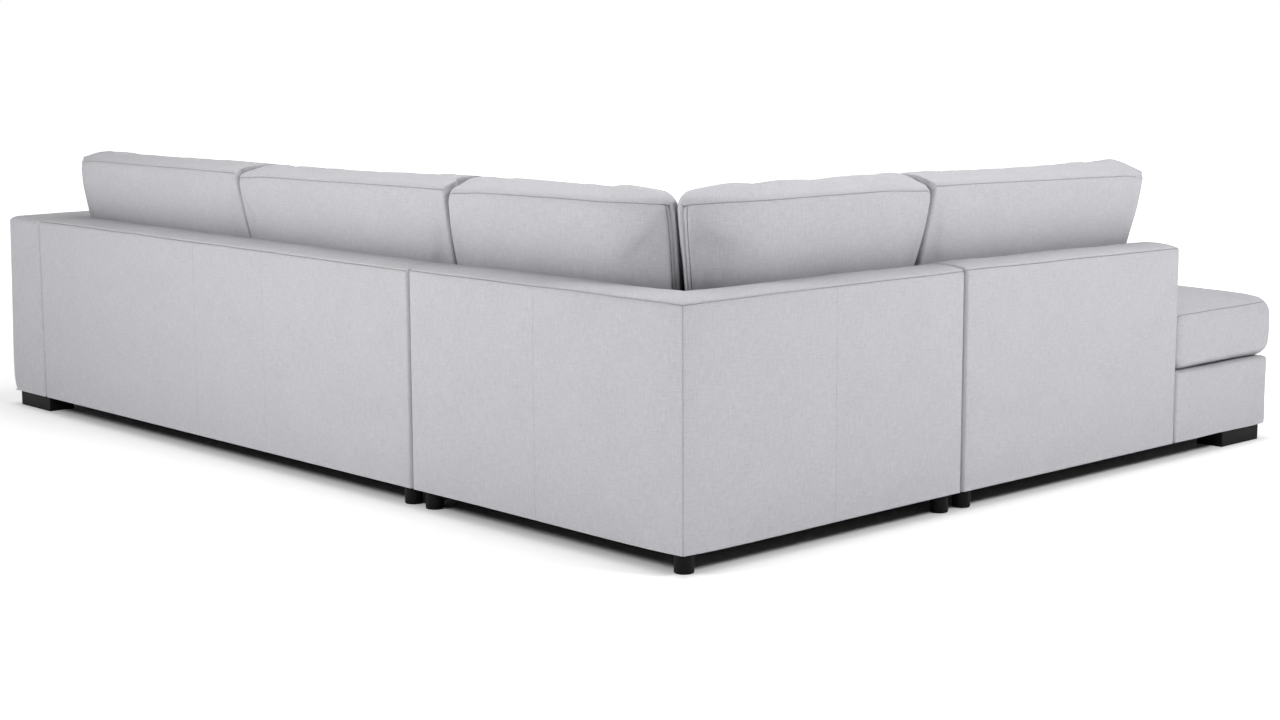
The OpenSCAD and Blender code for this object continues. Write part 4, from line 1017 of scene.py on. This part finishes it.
timber = plain_finish("pine_boards", (0.42, 0.25, 0.11, 1), (0.72, 0.50, 0.27, 1),
                      (1, 14, 14), 6.0, 5.0, 0.0004, Roughness=0.6)
hardboard = plain_finish("hardboard", (0.13, 0.07, 0.035, 1), (0.27, 0.16, 0.08, 1),
                         (1, 1, 1), 60.0, 4.0, 0.0003, Roughness=0.75)
foam = plain_finish("upholstery_foam", (0.66, 0.58, 0.36, 1), (0.86, 0.80, 0.58, 1),
                    (1, 1, 1), 220.0, 3.0, 0.0008, Roughness=0.95)
webbing = plain_finish("elastic_webbing", (0.03, 0.03, 0.035, 1), (0.09, 0.09, 0.10, 1),
                       (90, 90, 1), 4.0, 2.0, 0.0004, Roughness=0.85)
steel = plain_finish("zinc_plated_steel", (0.42, 0.43, 0.45, 1), (0.66, 0.67, 0.68, 1),
                     (1, 1, 1), 30.0, 3.0, 0.0001, Roughness=0.32, Metallic=1.0)
dust_cloth = plain_finish("black_dust_cloth", (0.010, 0.010, 0.011, 1), (0.030, 0.030, 0.032, 1),
                          (1, 1, 1), 160.0, 3.0, 0.0003, Roughness=0.9)
feet_black = plain_finish("black_lacquer", (0.004, 0.004, 0.004, 1), (0.008, 0.008, 0.008, 1),
                          (1, 1, 8), 20.0, 3.0, 0.0001, Roughness=0.5, Specular_IOR_Level=0.12)

cut_foam.data.materials.append(foam)

FINISHES = {"frame": timber, "lining": hardboard, "padding": foam, "webbing": webbing,
            "feet": feet_black}
FINISHES |= dict.fromkeys(("springs", "clips", "bolts", "tongues", "bridges", "screws"), steel)
for name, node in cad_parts.items():
    finish = FINISHES.get(name.split("_")[-1], dust_cloth if "dust" in name else cover_cloth)
    node.data.materials.clear()
    node.data.materials.append(finish)

# %% [markdown]
# ## Studio
# Two softboxes stand to the left and right behind the sofa, so each wing's outer side is lit
# evenly, and a third, larger one hangs over the seats. The white floor glows, a painted light
# that also lights the sofa: more with the distance from the sofa, so that no horizon shows, and
# not at all over the sofa's plan and just beside it, which paints a soft shadow round the sofa.

# %% Floor
BLACK, WHITE = (0, 0, 0, 1), (1, 1, 1, 1)
FLOOR = 30   # half its side
GLOW_FROM, GLOW_TO, GLOW_LOW = 1.6, 5.2, 0.37   # where the glow grows to 1, and from what
CLEAR_IN, CLEAR_OUT = -0.07, 0.04   # distances outside the sofa's plan over which the glow begins; nearer in, a painted shadow

floor_mesh = bpy.data.meshes.new("floor")
sides = ((-FLOOR, -FLOOR), (FLOOR, -FLOOR), (FLOOR, FLOOR), (-FLOOR, FLOOR))
floor_mesh.from_pydata([(x, y, 0) for x, y in sides], [], [(0, 1, 2, 3)])
floor = added("floor", floor_mesh)
floor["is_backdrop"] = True
white = Finish("studio_floor", Roughness=0.7, Emission_Strength=1.0)
place = white.node("ShaderNodeTexCoord", {}, (), "Object")
speck = white.noise(place, 2.0)
white.feed("Base Color", white.mixed(speck, (0.88, 0.88, 0.88, 1), (0.92, 0.92, 0.92, 1)))
away = white.node("ShaderNodeVectorMath", {"operation": "LENGTH"}, [place], "Value")
smooth = {"interpolation_type": "SMOOTHSTEP"}
far = white.node("ShaderNodeMapRange", smooth, [away, GLOW_FROM, GLOW_TO, GLOW_LOW, 1.0])
# Each wing's plan is a rectangle, and the distance outside the nearer one counts
outside = None
for (x0, y0), (x1, y1) in ((room_of("long_base_cover", "corner_cover_long")[0][:2],
                            room_of("arm_cover", "corner_cover_long")[1][:2]),
                           (room_of("chaise_base_cover", "chaise_back_cover")[0][:2],
                            room_of("corner_cover_long", "chaise_base_cover")[1][:2])):
    middle = CORNER + [(x0 + x1) / 2, (y0 + y1) / 2, 0]
    beside = white.node("ShaderNodeVectorMath", {"operation": "SUBTRACT"}, [place, tuple(middle)])
    beside = white.node("ShaderNodeVectorMath", {"operation": "ABSOLUTE"}, [beside])
    beside = white.node("ShaderNodeSeparateXYZ", {}, [beside])
    gap = white.math("MAXIMUM", beside - (x1 - x0) / 2, beside.other(1) - (y1 - y0) / 2)
    outside = gap if outside is None else white.math("MINIMUM", outside, gap)
# The glow fades out towards the sofa's plan, which paints a soft shadow on the floor round it
clear = white.node("ShaderNodeMapRange", smooth, [outside, CLEAR_IN, CLEAR_OUT, 0.0, 1.0])
white.feed("Emission Color", white.mixed(far * clear, BLACK, WHITE))
floor.data.materials.append(white.material)

# %% [markdown]
# The fill light is a plain white room, brighter on the sofa's seat side than on the other. The
# camera sees full white there.

# %% Fill light and softboxes
FILL_REAR, FILL_FRONT = 0.05, 0.65
world = bpy.data.worlds.new("studio")
world.use_nodes = True
fill = Sheet(world.node_tree, "Background")
fill.shader.inputs["Color"].default_value = WHITE
sight = fill.node("ShaderNodeTexCoord", {}, (), "Generated")
facing = fill.node("ShaderNodeVectorMath", {"operation": "DOT_PRODUCT"},
                   [sight, (0.7, -0.7, 0.1)], "Value")
level = fill.node("ShaderNodeMapRange", {}, [facing, 0.0, 0.9, FILL_REAR, FILL_FRONT])
fill.feed("Strength", level)
backdrop = fill.node("ShaderNodeBackground", {}, [WHITE])
seen = fill.node("ShaderNodeLightPath", {}, (), "Is Camera Ray")
either = fill.node("ShaderNodeMixShader", {},
                   [seen, Wire(fill, fill.shader.outputs[0]), backdrop])
fill.tree.links.new(either.socket, fill.tree.nodes["World Output"].inputs["Surface"])
scene.world = world
scene.view_settings.view_transform = "Standard"


def softbox(name, place, aim, size, power):
    """A square area light at a place seen from the corner, turned towards a point."""
    lamp = bpy.data.lights.new(name, "AREA")
    lamp.shape, lamp.size, lamp.energy = "SQUARE", size, power
    light = added(name, lamp)
    light.location = CORNER + place
    light.rotation_mode = "QUATERNION"
    light.rotation_quaternion = (Vector(aim) - Vector(place)).to_track_quat("-Z", "Y")
    light.visible_camera = False


softbox("left_softbox", (1.6, 3.0, 2.6), (1.0, -0.2, 0.5), 1.2, 79)
softbox("right_softbox", (-3.0, -1.9, 3.6), (0.2, -1.4, 0.5), 1.2, 119)
softbox("top_softbox", (1.0, -1.2, 4.6), (1.0, -1.1, 0.0), 2.5, 95)

# %% [markdown]
# Upholstery may stand a little proud of the imported model, so the box of everything shown,
# both together, is printed.

# %% Size of everything shown
low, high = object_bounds()
print("visual box", [round(v, 3) for v in (*low, *high)])
